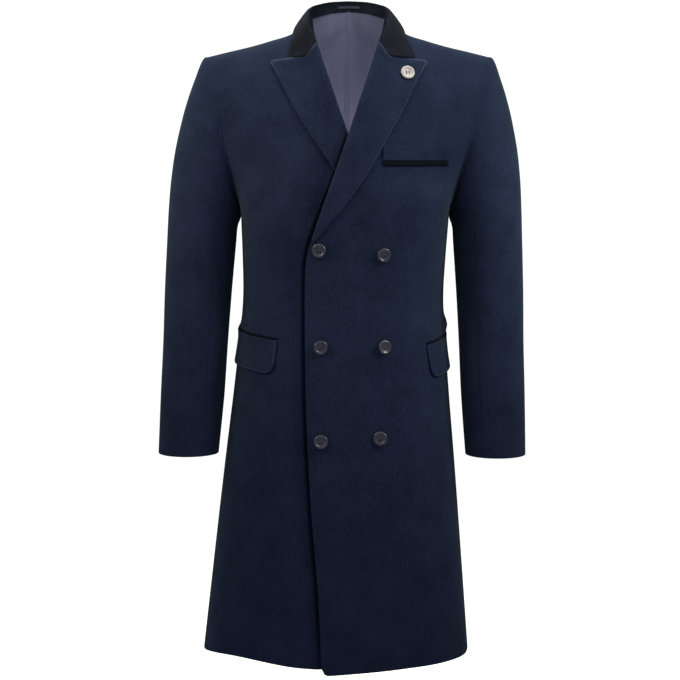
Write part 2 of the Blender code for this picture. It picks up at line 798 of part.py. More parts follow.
def add_buttons():
    for number, (x, z) in enumerate(BUTTON_PLACES, start=1):
        angle, level = under_front(x, z, LAY_GAP)
        facing = body_normal(angle, level, FRONT)
        add_button(f"button_{number}", on_body(angle, level, FRONT, LAY_GAP), facing, HORN)
    out = lapel_out(*LAPEL_BUTTON_AT, 1) + LAY_GAP
    angle, level = under_front(*LAPEL_BUTTON_AT, out)
    facing = body_normal(angle, level, FRONT)
    add_button("lapel_button", on_body(angle, level, FRONT, out), facing, IVORY)


for old in list(bpy.data.objects):
    bpy.data.objects.remove(old, do_unlink=True)
coat = bpy.data.collections.new("overcoat")
bpy.context.scene.collection.children.link(coat)
held = bpy.data.objects.new("held_by_wearer", None)
coat.objects.link(held)

add_front("front_left", 1)
add_front("front_right", -1)
add_back("back_left", 1)
add_back("back_right", -1)
for sleeve_side, word in ((1, "left"), (-1, "right")):
    add_sleeve(f"sleeve_top_{word}", sleeve_side, -SLEEVE_SEAM, SLEEVE_SEAM, 12)
    add_sleeve(f"sleeve_under_{word}", sleeve_side, SLEEVE_SEAM, 2 * math.pi - SLEEVE_SEAM, 8)
    add_lapel(f"lapel_{word}", sleeve_side)
    add_hip_pocket(f"hip_flap_{word}", f"hip_jet_{word}", sleeve_side)
add_collar()
add_lining()
add_hanger_loop()
welt_low = WELT_TOP_Z - WELT_HEIGHT
trim_top = welt_low - LAY_GAP
add_patch("breast_welt", welt_low, WELT_TOP_Z, WOOL)
add_patch("breast_welt_trim", trim_top - WELT_TRIM_HEIGHT, trim_top, VELVET)
add_buttons()
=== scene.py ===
"""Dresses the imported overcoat: wool panels with rounded edges, rolled lapels, velvet collar and trims,
satin lining, four-hole buttons and their sewing. Metres, +Z up, the coat faces -Y."""

import math

import bmesh
import bpy
import numpy as np
from mathutils import Matrix, Vector


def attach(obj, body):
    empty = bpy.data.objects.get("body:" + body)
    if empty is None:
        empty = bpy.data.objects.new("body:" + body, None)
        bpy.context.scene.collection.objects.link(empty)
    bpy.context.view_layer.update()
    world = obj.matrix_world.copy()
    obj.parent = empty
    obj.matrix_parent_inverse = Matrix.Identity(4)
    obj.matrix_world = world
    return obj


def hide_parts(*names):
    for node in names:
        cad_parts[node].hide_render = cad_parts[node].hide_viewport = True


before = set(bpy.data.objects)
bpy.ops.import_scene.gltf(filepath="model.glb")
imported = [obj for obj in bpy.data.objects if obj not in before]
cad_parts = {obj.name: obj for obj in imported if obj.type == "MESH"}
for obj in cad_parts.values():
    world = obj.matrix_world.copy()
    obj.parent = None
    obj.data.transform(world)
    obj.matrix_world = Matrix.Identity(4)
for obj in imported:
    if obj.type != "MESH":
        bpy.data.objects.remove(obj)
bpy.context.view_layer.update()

# Cloth
WALL = 0.0025
FACING_WALL = 0.0030
LINING_WALL = 0.0008
TRIM_WALL = 0.0018
COLLAR_WALL = 0.0027
# Below 0: the edges lap by this much, so that no light shows through a seam
SEAM_GAP = -0.00004
LAY_GAP = 0.0004
FACING_GAP = 0.0010
COLLAR_GAP = 0.0030
SLEEVE_GAP = 0.00036

# Heights and breadths of the form
HEM_Z = -1.026
ARMPIT_Z = -0.284
SHOULDER_TIP_Z = -0.038
SHOULDER_HALF = 0.2297
ARMPIT_HALF = 0.1730
ARMHOLE_HALF_DEPTH = 0.068
CHEST_DEPTH = 0.127
BACK_DEPTH = 0.115
SWAY = 0.021
SLEEVE_SWAY = 0.0125
SKIRT_ROUNDNESS = 2.3
CHEST_ROUNDNESS = 3.1
CHEST_TURN = math.radians(42)
CHEST_TURN_RISE = 0.30
CHEST_FADE_BELOW = 0.18
CHEST_FADE_ABOVE = 0.50
ARMHOLE_SOFTNESS = 0.12

# Neck, lapels and front edges
NECK_HALF = 0.0640
NECK_ROUNDING = 0.10
NECK_POINT_Z = 0.0285
NECK_BACK_Z = 0.0420
BREAK_Z = -0.336
GORGE_Z = -0.0206
COLLAR_END_Z = -0.0455
LAPEL_PEAK = (0.1265, -0.0456)
PEAK_CORNER = 0.005
ROLL_SETBACK = 0.0070
ROLL_LIFT = 0.0030
ROLL_WIDTH = 0.016
BREAK_RISE = 0.07
ROLL_RADIUS = 0.0055
ROLL_OPENING = 0.25
ROLL_TUCK = math.radians(-115)
ROLL_SHIFT = -0.0020
ROLL_AT_BREAK = 0.0012
ROLL_MOST = 0.6
LAPEL_WALL = FACING_WALL * 0.85
GORGE_BEND_FROM = 0.62
PEAK_FROM = 0.9
EDGE_SETBACK_RISE = 0.04
EDGE_SETBACK_FALL = 0.03
NECK_SETBACK = 0.003
EDGE_SWELL = 0.0024
EDGE_SWELL_WIDTH = 0.011
EDGE_TURN = 0.0045
# Painted highlight along pressed edges: its width, where it starts and how fast it rises up the lapel, and
# its strength on the hip flaps
HIGHLIGHT_WIDTH = 0.0018
HIGHLIGHT_FROM = 0.1
HIGHLIGHT_RISE = 0.3
FLAP_HIGHLIGHT = 0.4
SIDE_SEAM_BACK = math.radians(24)
SIDE_SEAM_BEND = 0.25
HEM_DROP = 0.0090
HEM_DROP_WIDTH = 0.32
HEM_DROP_FADE = 1.3
HEM_LIFT = 0.0140
HEM_LIFT_AT = math.radians(-45)
HEM_LIFT_WIDTH = math.radians(44)
HEM_SHAPE_RISE = 0.20
HEM_CORNER = 0.012
HEM_CORNER_RISE = 0.06
LINING_EDGE_LEVEL = -0.94
FRONT_FACING = 0.085
LONGER_CUFF = 0.0026
LONGER_CUFF_FROM = 12
OVERLAP_DEEP = 0.0105
OVERLAP_SHALLOW = 0.0085
OVERLAP_RAMP = 0.060
OVERLAP_DEEP_FROM_Z = -0.46
OVERLAP_DEEP_RISE = 0.10
TROUGH_DEPTH = 0.0095
TROUGH_WIDTH = 0.0088
TROUGH_ABOVE = 0.55
TROUGH_AT_HEM = 0.4
TROUGH_HEM_RISE = 0.12
TROUGH_SPAN = 0.14
TROUGH_START = (0.10, 0.60)
FARTHEST_EDGE = math.radians(80)
CENTRE_FRONT = 0.0045

# Collar
COLLAR_FOLD_RADIUS = 0.0038
COLLAR_FALL_ROLL = 0.0010
COLLAR_SHIFT = 0.0045
COLLAR_SHIFT_FROM = 0.5
SHOULDER_ALONG = 0.5
COLLAR_END_GAP = 0.5
COLLAR_END_FROM = 0.7
STAND_REACH = 1.04
NECK_POINT_REACH = 0.12
NECK_POINT_ALONG = 0.46
NECK_POINT_WIDTH = 0.09
STAND_LEAN = 0.0035
COLLAR_BACK_EDGE_Z = -0.0025
COLLAR_BACK_EDGE_RISE = 0.0042
COLLAR_BACK_END = 0.45
COLLAR_SEAM_ONWARD = 0.0014
COLLAR_SEAM_OUT = 0.0006
GORGE_ALONG = 0.848
NOTCH_ALONG = 0.972
COLLAR_END_ALONG = 0.998
GORGE_UNDERLAP = 0.004
NOTCH_PART = 0.44

# Pockets, buttons and hanger loop
WELT_X = (0.0540, 0.1600)
WELT_TOP_Z = -0.1830
WELT_HEIGHT = 0.0235
WELT_TRIM_HEIGHT = 0.0080
WELT_TRIM_WALL = TRIM_WALL * 0.9
FLAP_FRONT = 0.1200
FLAP_TOP_Z = -0.4900
FLAP_LENGTH = 0.150
FLAP_HEIGHT = 0.0545
FLAP_CORNER = 0.016
# How the hip flaps lie: drop of the front end, rise to the back end, slant of the front edge
FLAP_LIE = {"left": (0.0150, 0.0200, 0.006), "right": (0.0053, 0.0123, 0.001)}
FLAP_FLARE = {"left": 0.0026, "right": 0.0018}
JET_OUT = 0.0012
JET_HEIGHT = 0.0042
BUTTON_RADIUS = 0.0115
LAPEL_BUTTON_AT = (0.0937, -0.0672)
LOOP_END = 0.11
LOOP_LOW = 0.38
LOOP_HIGH = 0.70
LOOP_GAP = LAY_GAP * 2
HALVINGS = 40
LEVEL_ROUNDS = 12
STAND_OFF_ROUNDS = 5
FRONT = -1
BACK = 1
FORWARD = (0, -1, 0)

# Rings below the armpits: height, half width, front depth, back depth
BODY_RINGS = (
    (HEM_Z, 0.2235, 0.162, 0.156),
    (-0.897, 0.2110, 0.152, 0.146),
    (-0.794, 0.2010, 0.145, 0.138),
    (-0.692, 0.1908, 0.139, 0.130),
    (-0.590, 0.1800, 0.133, 0.121),
    (-0.489, 0.1700, 0.127, 0.107),
    (-0.430, 0.1665, 0.124, 0.103),
    (-0.370, 0.1680, 0.125, 0.107),
    (-0.320, 0.1703, 0.1265, 0.1125),
    (ARMPIT_Z, ARMPIT_HALF, CHEST_DEPTH, BACK_DEPTH),
    (-0.220, 0.1870, CHEST_DEPTH, BACK_DEPTH),
)

# Shoulder seam: across, height
SHOULDER_SEAM = (
    (-0.020, 0.105),
    (0.000, 0.126),
    (0.020, 0.105),
    (0.040, 0.060),
    (NECK_HALF, NECK_POINT_Z),
    (0.076, 0.0130),
    (0.094, -0.001),
    (0.126, -0.0115),
    (0.160, -0.0213),
    (0.197, -0.0300),
    (SHOULDER_HALF, SHOULDER_TIP_Z),
)

# Front edge and roll line: height, place across
FRONT_EDGE = (
    (HEM_Z, -0.0437),
    (-0.900, -0.0500),
    (-0.780, -0.0600),
    (-0.660, -0.0670),
    (-0.560, -0.0700),
    (-0.380, -0.0700),
    (BREAK_Z, -0.0611),
    (-0.1640, 0.0000),
    (GORGE_Z, 0.0482),
    (NECK_POINT_Z, NECK_HALF),
)

# Sleeve rings: along, outer point across and up, inner point across and up, half depth, middle
SLEEVE_RINGS = (
    (0, SHOULDER_HALF, SHOULDER_TIP_Z, ARMPIT_HALF, ARMPIT_Z, ARMHOLE_HALF_DEPTH, 0.0),
    (1, SHOULDER_HALF + 0.0058, -0.0394, ARMPIT_HALF + 0.0034, -0.2854, ARMHOLE_HALF_DEPTH, 0.0),
    (2, 0.2415, -0.0485, 0.1740, -0.2885, 0.0692, 0.0),
    (3, 0.2500, -0.0715, 0.1729, -0.2925, 0.0715, 0.0),
    (4, 0.2605, -0.1015, 0.1724, -0.2965, 0.0738, 0.0),
    (5, 0.2705, -0.1370, 0.1724, -0.3010, 0.0750, 0.0),
    (6, 0.2817, -0.1900, 0.1738, -0.3060, 0.0752, -0.001),
    (7, 0.2880, -0.2390, 0.1762, -0.3120, 0.0748, -0.002),
    (8, 0.2915, -0.2890, 0.1780, -0.3220, 0.0735, -0.003),
    (9, 0.2938, -0.3420, 0.1796, -0.3450, 0.0708, -0.005),
    (10, 0.2970, -0.4220, 0.1857, -0.4220, 0.0650, -0.009),
    (11, 0.2987, -0.5050, 0.1912, -0.5050, 0.0595, -0.016),
    (12, 0.3020, -0.5950, 0.1963, -0.5950, 0.0540, -0.024),
    (13, 0.3046, -0.6900, 0.2046, -0.6900, 0.0492, -0.033),
)
SLEEVE_SEAM = math.radians(118)

# Outer edge of the lapels: along the roll line from the break, across on the left lapel, across on
# the right one, which is narrower near the break, up
LAPEL_EDGE = (
    (0.00, -0.0560, -0.0560, -0.3345),
    (0.20, -0.0180, -0.0300, -0.2930),
    (0.40, 0.0255, 0.0140, -0.2338),
    (0.60, 0.0575, 0.0520, -0.1790),
    (0.80, 0.0925, 0.0918, -0.1150),
    (1.00, LAPEL_PEAK[0], *LAPEL_PEAK),
)

# Collar fold from the centre back: along, across, back, up
COLLAR_FOLD = (
    (0.00, 0.0000, 0.0800, 0.0590),
    (0.15, 0.0295, 0.0720, 0.0568),
    (0.30, 0.0515, 0.0460, 0.0505),
    (0.45, 0.0605, 0.0120, 0.0435),
    (0.58, 0.0647, -0.0230, 0.0305),
    (0.72, 0.0598, -0.0585, 0.0080),
    (0.86, 0.0480, -0.0795, GORGE_Z),
    (1.00, 0.0390, -0.0955, COLLAR_END_Z),
)

# Collar outer edge: along, across, rise (below 1 on the back, 1 on the shoulder seam, more in front)
COLLAR_EDGE = (
    (0.00, 0.0000, 0.700),
    (0.075, 0.0170, 0.724),
    (0.15, 0.0340, 0.795),
    (0.225, 0.0505, 0.866),
    (0.30, 0.0645, 0.920),
    (0.45, 0.0825, 0.985),
    (0.58, 0.0905, 1.035),
    (0.72, 0.0955, 1.075),
    (0.86, 0.1000, 1.105),
    (1.00, 0.1030, 1.140),
)

# Height of the neckline in front of the shoulder seam: along the collar, up
COLLAR_NECK = (
    (SHOULDER_ALONG, NECK_POINT_Z),
    (0.54, 0.0272),
    (0.58, 0.0220),
    (0.65, 0.0105),
    (0.72, -0.0002),
    (0.86, GORGE_Z),
    (1.00, COLLAR_END_Z),
)

# Creases and soft swells of the body: where each runs from and to (degrees round the coat from the
# centre front towards the wearer's left, height), its half width and its height, below 0 for a trough
BODY_CREASES = (
    ((78, -0.478), (103, -0.475), 0.012, 0.0055),
    ((-72, -0.481), (-100, -0.484), 0.010, 0.0022),
    ((-30, -0.345), (-66, -0.316), 0.014, -0.0010),
    ((36, -0.352), (70, -0.312), 0.013, -0.0009),
    ((-24, -0.520), (-52, -0.562), 0.020, 0.0010),
    ((20, -0.700), (24, -1.000), 0.030, 0.0014),
    ((-48, -0.740), (-54, -1.020), 0.034, 0.0020),
    ((58, -0.720), (66, -1.020), 0.030, 0.0022),
    ((112, -0.620), (122, -1.020), 0.036, -0.0030),
    ((-110, -0.600), (-120, -1.020), 0.034, -0.0026),
    ((150, -0.560), (156, -1.020), 0.040, 0.0030),
    ((-146, -0.580), (-154, -1.020), 0.038, 0.0034),
    ((140, -0.150), (132, -0.360), 0.020, -0.0020),
    ((-143, -0.160), (-134, -0.380), 0.018, -0.0022),
    ((168, -0.400), (128, -0.425), 0.013, -0.0015),
    ((-172, -0.415), (-126, -0.395), 0.012, -0.0013),
    ((160, -0.458), (118, -0.447), 0.016, 0.0013),
)

# Creases of a sleeve: from and to (degrees from the outside of the arm towards the front, along),
# half width, height
SLEEVE_CREASES = (
    ((62, 9.6), (135, 10.3), 0.012, -0.0017),
    ((78, 10.7), (142, 10.2), 0.011, -0.0014),
    ((52, 8.3), (150, 9.0), 0.014, 0.0011),
    ((300, 9.2), (230, 10.0), 0.014, -0.0015),
    ((30, 4.2), (60, 6.8), 0.018, -0.0012),
    ((332, 4.4), (300, 7.0), 0.018, -0.0013),
    ((155, 11.6), (62, 12.1), 0.014, 0.0010),
    ((290, 11.2), (225, 11.8), 0.013, -0.0010),
)
# How the creases of the right sleeve differ: further round, further along, height
RIGHT_SLEEVE_CREASES = (9, 0.35, 0.8)


def soft_step(value):
    """0 below 0, 1 above 1 and a smooth rise between."""
    value = np.clip(value, 0.0, 1.0)
    return value * value * (3 - 2 * value)


def bell(away, width):
    """1 at no distance, falling softly to about a third at the width."""
    return np.exp(-((away / width) ** 2))


def corner_cut(from_edge, radius):
    """How far a rounded corner cuts in at a distance from the edge."""
    inside = np.clip(radius - from_edge, 0, radius)
    return radius - np.sqrt(radius**2 - inside**2)


def lengths(points, axis):
    """The length run along one direction of a grid of points."""
    steps = np.diff(points, axis=axis, prepend=points.take([0], axis=axis))
    return np.cumsum(np.linalg.norm(steps, axis=-1), axis=axis)


def smooth(rows, place):
    """The other columns of a table where its first has these values, on a smooth curve."""
    rows = np.array(rows, float)
    place = np.asarray(place, float)
    last = len(rows) - 2
    index = np.clip(np.searchsorted(rows[:, 0], place) - 1, 0, last)
    low, high = rows[index], rows[index + 1]
    before, after = rows[np.maximum(index - 1, 0)], rows[np.minimum(index + 2, last + 1)]
    span = high[..., :1] - low[..., :1]
    part = (place[..., None] - low[..., :1]) / span
    leave = (high - before) / (high[..., :1] - before[..., :1]) * span
    arrive = (after - low) / (after[..., :1] - low[..., :1]) * span
    rise = part * part * (3 - 2 * part)
    found = low + (high - low) * rise + part * (1 - part) * ((1 - part) * leave - part * arrive)
    return np.moveaxis(found[..., 1:], -1, 0)


def spots(x, y, z):
    return np.stack(np.broadcast_arrays(x, y, z), axis=-1)


def unit(vectors):
    return vectors / np.maximum(np.linalg.norm(vectors, axis=-1, keepdims=True), 1e-12)


def oval(angle, level):
    """Across and forward on a squared oval of half width 1, squarer round the chest."""
    chest = soft_step(1 + level / CHEST_FADE_BELOW) * (1 - soft_step(level / CHEST_FADE_ABOVE))
    power = SKIRT_ROUNDNESS + (CHEST_ROUNDNESS - SKIRT_ROUNDNESS) * chest
    across, forward = np.sin(angle), np.cos(angle)
    size = (np.abs(across) ** power + np.abs(forward) ** power) ** (-1 / power)
    return across * size, forward * size


def halving(low, high, is_low, shape):
    """The place in a range where a test turns from true to false, for a whole array."""
    low, high = np.full(shape, float(low)), np.full(shape, float(high))
    for _ in range(HALVINGS):
        middle = (low + high) / 2
        below = is_low(middle)
        low, high = np.where(below, middle, low), np.where(below, high, middle)
    return low


def oval_angle(across, level):
    across, level = np.broadcast_arrays(across, level)
    return halving(-math.pi / 2, math.pi / 2, lambda a: oval(a, level)[0] < across, across.shape)


def ridge_z(across):
    return smooth(SHOULDER_SEAM, np.abs(across))[0]


def level_z(level):
    return ARMPIT_Z + level * (ARMPIT_Z - HEM_Z)


def z_level(z):
    return (z - ARMPIT_Z) / (ARMPIT_Z - HEM_Z)


def near_hem(level):
    return soft_step((-level - 1 + HEM_SHAPE_RISE) / HEM_SHAPE_RISE)


def chest_turn(level):
    """How far a row above the armpits turns round from the middle to the armhole."""
    return math.pi / 2 - CHEST_TURN * soft_step(level / CHEST_TURN_RISE)


def row_half(level):
    return ARMPIT_HALF + (SHOULDER_HALF - ARMPIT_HALF) * level


def form(angle, level, face):
    """Points of the smooth form. level is -1 at the hem, 0 at the armpits and 1 on the shoulder seam."""
    angle, level = np.broadcast_arrays(np.asarray(angle, float), np.asarray(level, float))
    lower = np.minimum(level, 0)
    z = level_z(lower)
    half, front, back = smooth(BODY_RINGS, z)
    across, forward = oval(angle, lower)
    skirt = spots(half * across, face * np.where(face * forward < 0, front, back) * forward, z)
    upper = np.clip(level, 0, 1)
    turn = chest_turn(upper)
    across, forward = oval(angle * turn / (math.pi / 2), upper)
    end_across, end_forward = oval(turn, upper)
    part = across / end_across
    middle = (CHEST_DEPTH if face == FRONT else BACK_DEPTH) * np.sqrt(1 - upper * upper)
    outward = np.minimum(1, (1 - forward) / (1 - end_forward))
    opened = upper**3 / np.maximum(upper**2 + ARMHOLE_SOFTNESS * (1 - outward) ** 2, 1e-12)
    edge = 2 * ARMHOLE_HALF_DEPTH * np.sqrt(opened * (1 - upper))
    depth = middle + (edge - middle) * outward
    z = ARMPIT_Z + upper * (ridge_z(SHOULDER_HALF * part) - ARMPIT_Z)
    chest = spots(row_half(upper) * part, face * (depth + SEAM_GAP / 2 * upper), z)
    points = np.where((level <= 0)[..., None], skirt, chest)
    points[..., 0] += SWAY * np.minimum(0, points[..., 2])
    return points


def crease_lift(points, lines):
    """How far creases along straight lines lift the cloth at these points."""
    lift = np.zeros(points.shape[:-1])
    for start, end, width, height in lines:
        run = end - start
        part = np.clip((points - start) @ run / (run @ run), 0, 1)
        away = points - start - part[..., None] * run
        lift += height * np.exp(-(away**2).sum(axis=-1) / width**2)
    return lift


def round_coat(degrees, z):
    """The point of the smooth form at an angle from the centre front and a height."""
    face = FRONT if abs(degrees) <= 90 else BACK
    turn = degrees if face == FRONT else math.copysign(180 - abs(degrees), degrees)
    level = z_level(z) if z < ARMPIT_Z else (z - ARMPIT_Z) / (SHOULDER_TIP_Z - ARMPIT_Z)
    return form(math.radians(turn), level, face)


CREASE_LINES = [(round_coat(*start), round_coat(*end), *sizes) for start, end, *sizes in BODY_CREASES]


def body(angle, level, face):
    """Points of the outer form with its creases."""
    points = form(angle, level, face)
    outward = points * (1, 1, 0)
    outward[..., 0] -= SWAY * np.minimum(0, points[..., 2])
    return points + unit(outward) * crease_lift(points, CREASE_LINES)[..., None]


def body_normal(angle, level, face):
    angle, level = np.broadcast_arrays(np.asarray(angle, float), np.asarray(level, float))
    step = 0.0005
    low, high = np.maximum(-1, level - step), np.minimum(1, level + step)
    high = np.where((low < 0) & (level >= 0) & (level < step), level, high)
    across = body(angle + step, level, face) - body(angle - step, level, face)
    along = body(angle, high, face) - body(angle, low, face)
    return unit(np.cross(across, along) * -face)


def on_body(angle, level, face, out):
    """Points of the form, moved out along its normal."""
    return body(angle, level, face) + body_normal(angle, level, face) * np.asarray(out)[..., None]


def row_angle(x, level):
    turn = chest_turn(level)
    part = x / row_half(level)
    return oval_angle(part * oval(turn, level)[0], level) / turn * (math.pi / 2)


def seen_from_front(x, z):
    """The angle and level of the front at a place across and up."""
    x = x - SWAY * np.minimum(0, z)
    lower = np.minimum(z, ARMPIT_Z)
    half = smooth(BODY_RINGS, lower)[0]
    skirt_level = z_level(lower)
    skirt_angle = oval_angle(np.clip(x / half, -1, 1), skirt_level)
    level = np.full(np.shape(x), 0.5)
    for _ in range(LEVEL_ROUNDS):
        ridge = ridge_z(SHOULDER_HALF * x / row_half(level))
        level = np.clip((z - ARMPIT_Z) / (ridge - ARMPIT_Z), 0, 1)
    below = z <= ARMPIT_Z
    return np.where(below, skirt_angle, row_angle(x, level)), np.where(below, skirt_level, level)


def under_front(x, z, out):
    """The angle and level from which points moved out from the front are seen at a place across and up."""
    x, z, out = np.broadcast_arrays(x, z, out)
    under_x, under_z = x, z
    for _ in range(STAND_OFF_ROUNDS):
        angle, level = seen_from_front(under_x, under_z)
        point = on_body(angle, level, FRONT, out)
        under_x = under_x + x - point[..., 0]
        under_z = under_z + z - point[..., 2]
    return angle, level


def off_front(x, z, out):
    """Points that stand off the front form and are seen at a place across and up."""
    angle, level = under_front(x, z, out)
    return on_body(angle, level, FRONT, np.broadcast_to(out, np.shape(angle)))


def roll_x(z):
    return smooth(FRONT_EDGE, z)[0]


def panel_edge_x(z, setback):
    """The front edge of the cloth, set back inside the turned lapel."""
    above = soft_step((z - BREAK_Z) / EDGE_SETBACK_RISE)
    return roll_x(z) + setback * above * soft_step((FRONT_EDGE[-1][0] - z) / EDGE_SETBACK_FALL)


def edge_angle(level, side):
    """The angle at which each row meets the front edge."""

    def is_low(angle):
        point = body(angle * side, level, FRONT)
        return point[..., 0] * side < panel_edge_x(point[..., 2], ROLL_SETBACK)

    return halving(-FARTHEST_EDGE, FARTHEST_EDGE, is_low, level.shape)


def side_angle(level):
    return math.pi / 2 + SIDE_SEAM_BACK * soft_step(-level / SIDE_SEAM_BEND)


def overlap_dip(x, z):
    """How far the under front lies inside the form where the other front covers it."""
    upper = soft_step((z - OVERLAP_DEEP_FROM_Z) / OVERLAP_DEEP_RISE)
    deepest = OVERLAP_SHALLOW + (OVERLAP_DEEP - OVERLAP_SHALLOW) * upper
    above_hem = soft_step((z - HEM_Z) / TROUGH_HEM_RISE)
    trough = TROUGH_DEPTH * (TROUGH_AT_HEM + (1 - TROUGH_AT_HEM) * above_hem)
    beyond = x - roll_x(z)
    width = TROUGH_WIDTH * (1 - (1 - TROUGH_ABOVE) * soft_step((z - BREAK_Z) / OVERLAP_DEEP_RISE))
    sunk = trough * width / TROUGH_WIDTH * soft_step(beyond / width + 1)
    return deepest * soft_step(beyond / OVERLAP_RAMP + 1) + sunk


def neck_top(column):
    """The highest row of a back at a column, lowered along the neckline."""
    turn = chest_turn(np.float64(1))
    across = SHOULDER_HALF * oval(column * turn, np.float64(1))[0] / oval(turn, np.float64(1))[0]
    inside = np.maximum(0, 1 - (across / NECK_HALF) ** 2)
    neck_z = NECK_POINT_Z + (NECK_BACK_Z - NECK_POINT_Z) * inside
    return np.where(inside > 0, np.minimum(1, (neck_z - ARMPIT_Z) / (ridge_z(across) - ARMPIT_Z)), 1.0)


def sleeve_form(angle, along, side):
    """Points of a smooth sleeve. angle is 0 on the outside of the arm and grows towards the front."""
    top_x, top_z, under_x, under_z, depth, middle = smooth(SLEEVE_RINGS, along)
    part = (1 + np.cos(angle)) / 2
    x = under_x + (top_x - under_x) * part + SLEEVE_GAP
    z = under_z + (top_z - under_z) * part
    z = z - LONGER_CUFF * max(0, side) * soft_step(along - LONGER_CUFF_FROM)
    sway = SWAY * np.maximum(z, ARMPIT_Z) + SLEEVE_SWAY * np.minimum(0, z - ARMPIT_Z)
    return spots(side * x + sway, middle - depth * np.sin(angle), z)


def sleeve(angle, along, side):
    """Points of a sleeve with its creases."""
    turn_on, move_on, share = (0, 0, 1) if side > 0 else RIGHT_SLEEVE_CREASES
    lines = []
    for (start_turn, start), (end_turn, end), width, height in SLEEVE_CREASES:
        first = sleeve_form(math.radians(start_turn + turn_on), start + move_on, side)
        last = sleeve_form(math.radians(end_turn + turn_on), end + move_on, side)
        lines.append((first, last, width, height * share))
    points = sleeve_form(angle, along, side)
    outward = unit(points - sleeve_form(angle + math.pi, along, side))
    return points + outward * crease_lift(points, lines)[..., None]


def sleeve_centre(angle, along, side):
    return (sleeve(angle, along, side) + sleeve(angle + math.pi, along, side)) / 2


class Wire:
    """One output of a node. Sums and products of wires add Math nodes."""

    def __init__(self, nodes, socket):
        self.nodes = nodes
        self.socket = socket

    def maths(self, operation, first, second):
        return self.nodes.node("ShaderNodeMath", {"operation": operation}, {0: first, 1: second})

    def __add__(self, other):
        return self.maths("ADD", self, other)

    __radd__ = __add__

    def __sub__(self, other):
        return self.maths("SUBTRACT", self, other)

    def __rsub__(self, other):
        return self.maths("SUBTRACT", other, self)

    def __mul__(self, other):
        return self.maths("MULTIPLY", self, other)

    __rmul__ = __mul__


class Nodes:
    """A tree of nodes. Each new node takes its settings, and numbers or wires for its sockets."""

    def __init__(self, tree):
        self.tree = tree

    def node(self, kind, settings, sockets, output=0):
        made = self.tree.nodes.new(kind)
        for setting, value in settings.items():
            setattr(made, setting, value)
        for socket, value in sockets.items():
            if isinstance(value, Wire):
                self.tree.links.new(value.socket, made.inputs[socket])
            else:
                made.inputs[socket].default_value = value
        return Wire(self, made.outputs[output]) if made.outputs else None


class Finish(Nodes):
    """A material built from nodes."""

    def __init__(self, name, shader):
        self.material = bpy.data.materials.new(name)
        self.material.use_nodes = True
        super().__init__(self.material.node_tree)
        self.shader = self.tree.nodes["Principled BSDF"]
        for socket, value in shader.items():
            self.shader.inputs[socket].default_value = value

    def place(self, stretch=(1, 1, 1)):
        """Object coordinates in metres, stretched."""
        where = self.node("ShaderNodeTexCoord", {}, {}, "Object")
        return self.node("ShaderNodeMapping", {}, {"Vector": where, "Scale": stretch})

    def grain(self, where, scale, detail=2.0, roughness=0.5):
        sockets = {"Vector": where, "Scale": scale, "Detail": detail, "Roughness": roughness}
        return self.node("ShaderNodeTexNoise", {}, sockets)

    def mix(self, part, dark, light):
        return self.node(
            "ShaderNodeMix",
            {"data_type": "RGBA", "clamp_factor": True},
            {0: part, 6: dark if isinstance(dark, Wire) else (*dark, 1), 7: (*light, 1)},
            2,
        )

    def feed(self, colour, roughness, height, depth, strength):
        """Links what varies over the surface to the shader."""
        bump = self.node("ShaderNodeBump", {}, {"Height": height, "Distance": depth, "Strength": strength})
        links = (("Base Color", colour), ("Roughness", roughness), ("Normal", bump))
        for socket, wire in links:
            self.tree.links.new(wire.socket, self.shader.inputs[socket])


def wool_finish():
    """Navy wool with a brushed nap: short fibres that lie down the coat, and a slight unevenness."""
    sheen = {"Sheen Weight": 0.02, "Sheen Roughness": 0.45, "Sheen Tint": (0.65, 0.95, 0.9, 1)}
    wool = Finish("navy wool", {**sheen, "Specular IOR Level": 0.0})
    lying = wool.place(stretch=(1, 1, 0.32))
    fibres = wool.grain(lying, 1500.0, 2.0, 0.6)
    tufts = wool.grain(lying, 480.0, 2.0, 0.6)
    clouds = wool.grain(wool.place(), 22.0, 3.0, 0.55)
    shade = fibres * 0.45 + tufts * 0.40 + clouds * 0.30
    colour = wool.mix(shade * 3.0 - 1.25, (0.0024, 0.0033, 0.0090), (0.0063, 0.0082, 0.0218))
    # Painted highlight: the edge attribute lightens the wool to a paler navy along the lapel and flap edges
    highlight_fac = wool.node("ShaderNodeAttribute", {"attribute_name": "painted_edge_highlight"}, {}, "Fac")
    colour = wool.mix(highlight_fac, colour, (0.0105, 0.0132, 0.0310))
    wool.feed(colour, fibres * 0.12 + 0.84, fibres * 0.5 + tufts * 0.7, 0.0006, 0.55)
    return wool.material


def velvet_finish(name, dark, light, bloom):
    """Black velvet: a short pile with a pale bloom at its edges."""
    sheen = {"Sheen Weight": bloom, "Sheen Roughness": 0.30, "Sheen Tint": (0.80, 0.84, 0.95, 1)}
    velvet = Finish(name, {**sheen, "Specular IOR Level": 0.0})
    pile = velvet.grain(velvet.place(), 1900.0, 2.0, 0.6)
    brushed = velvet.grain(velvet.place(stretch=(1, 1, 0.5)), 60.0, 3.0, 0.6)
    colour = velvet.mix(pile * 0.6 + brushed * 0.6 - 0.1, dark, light)
    velvet.feed(colour, pile * 0.1 + 0.86, pile, 0.0005, 0.5)
    return velvet.material


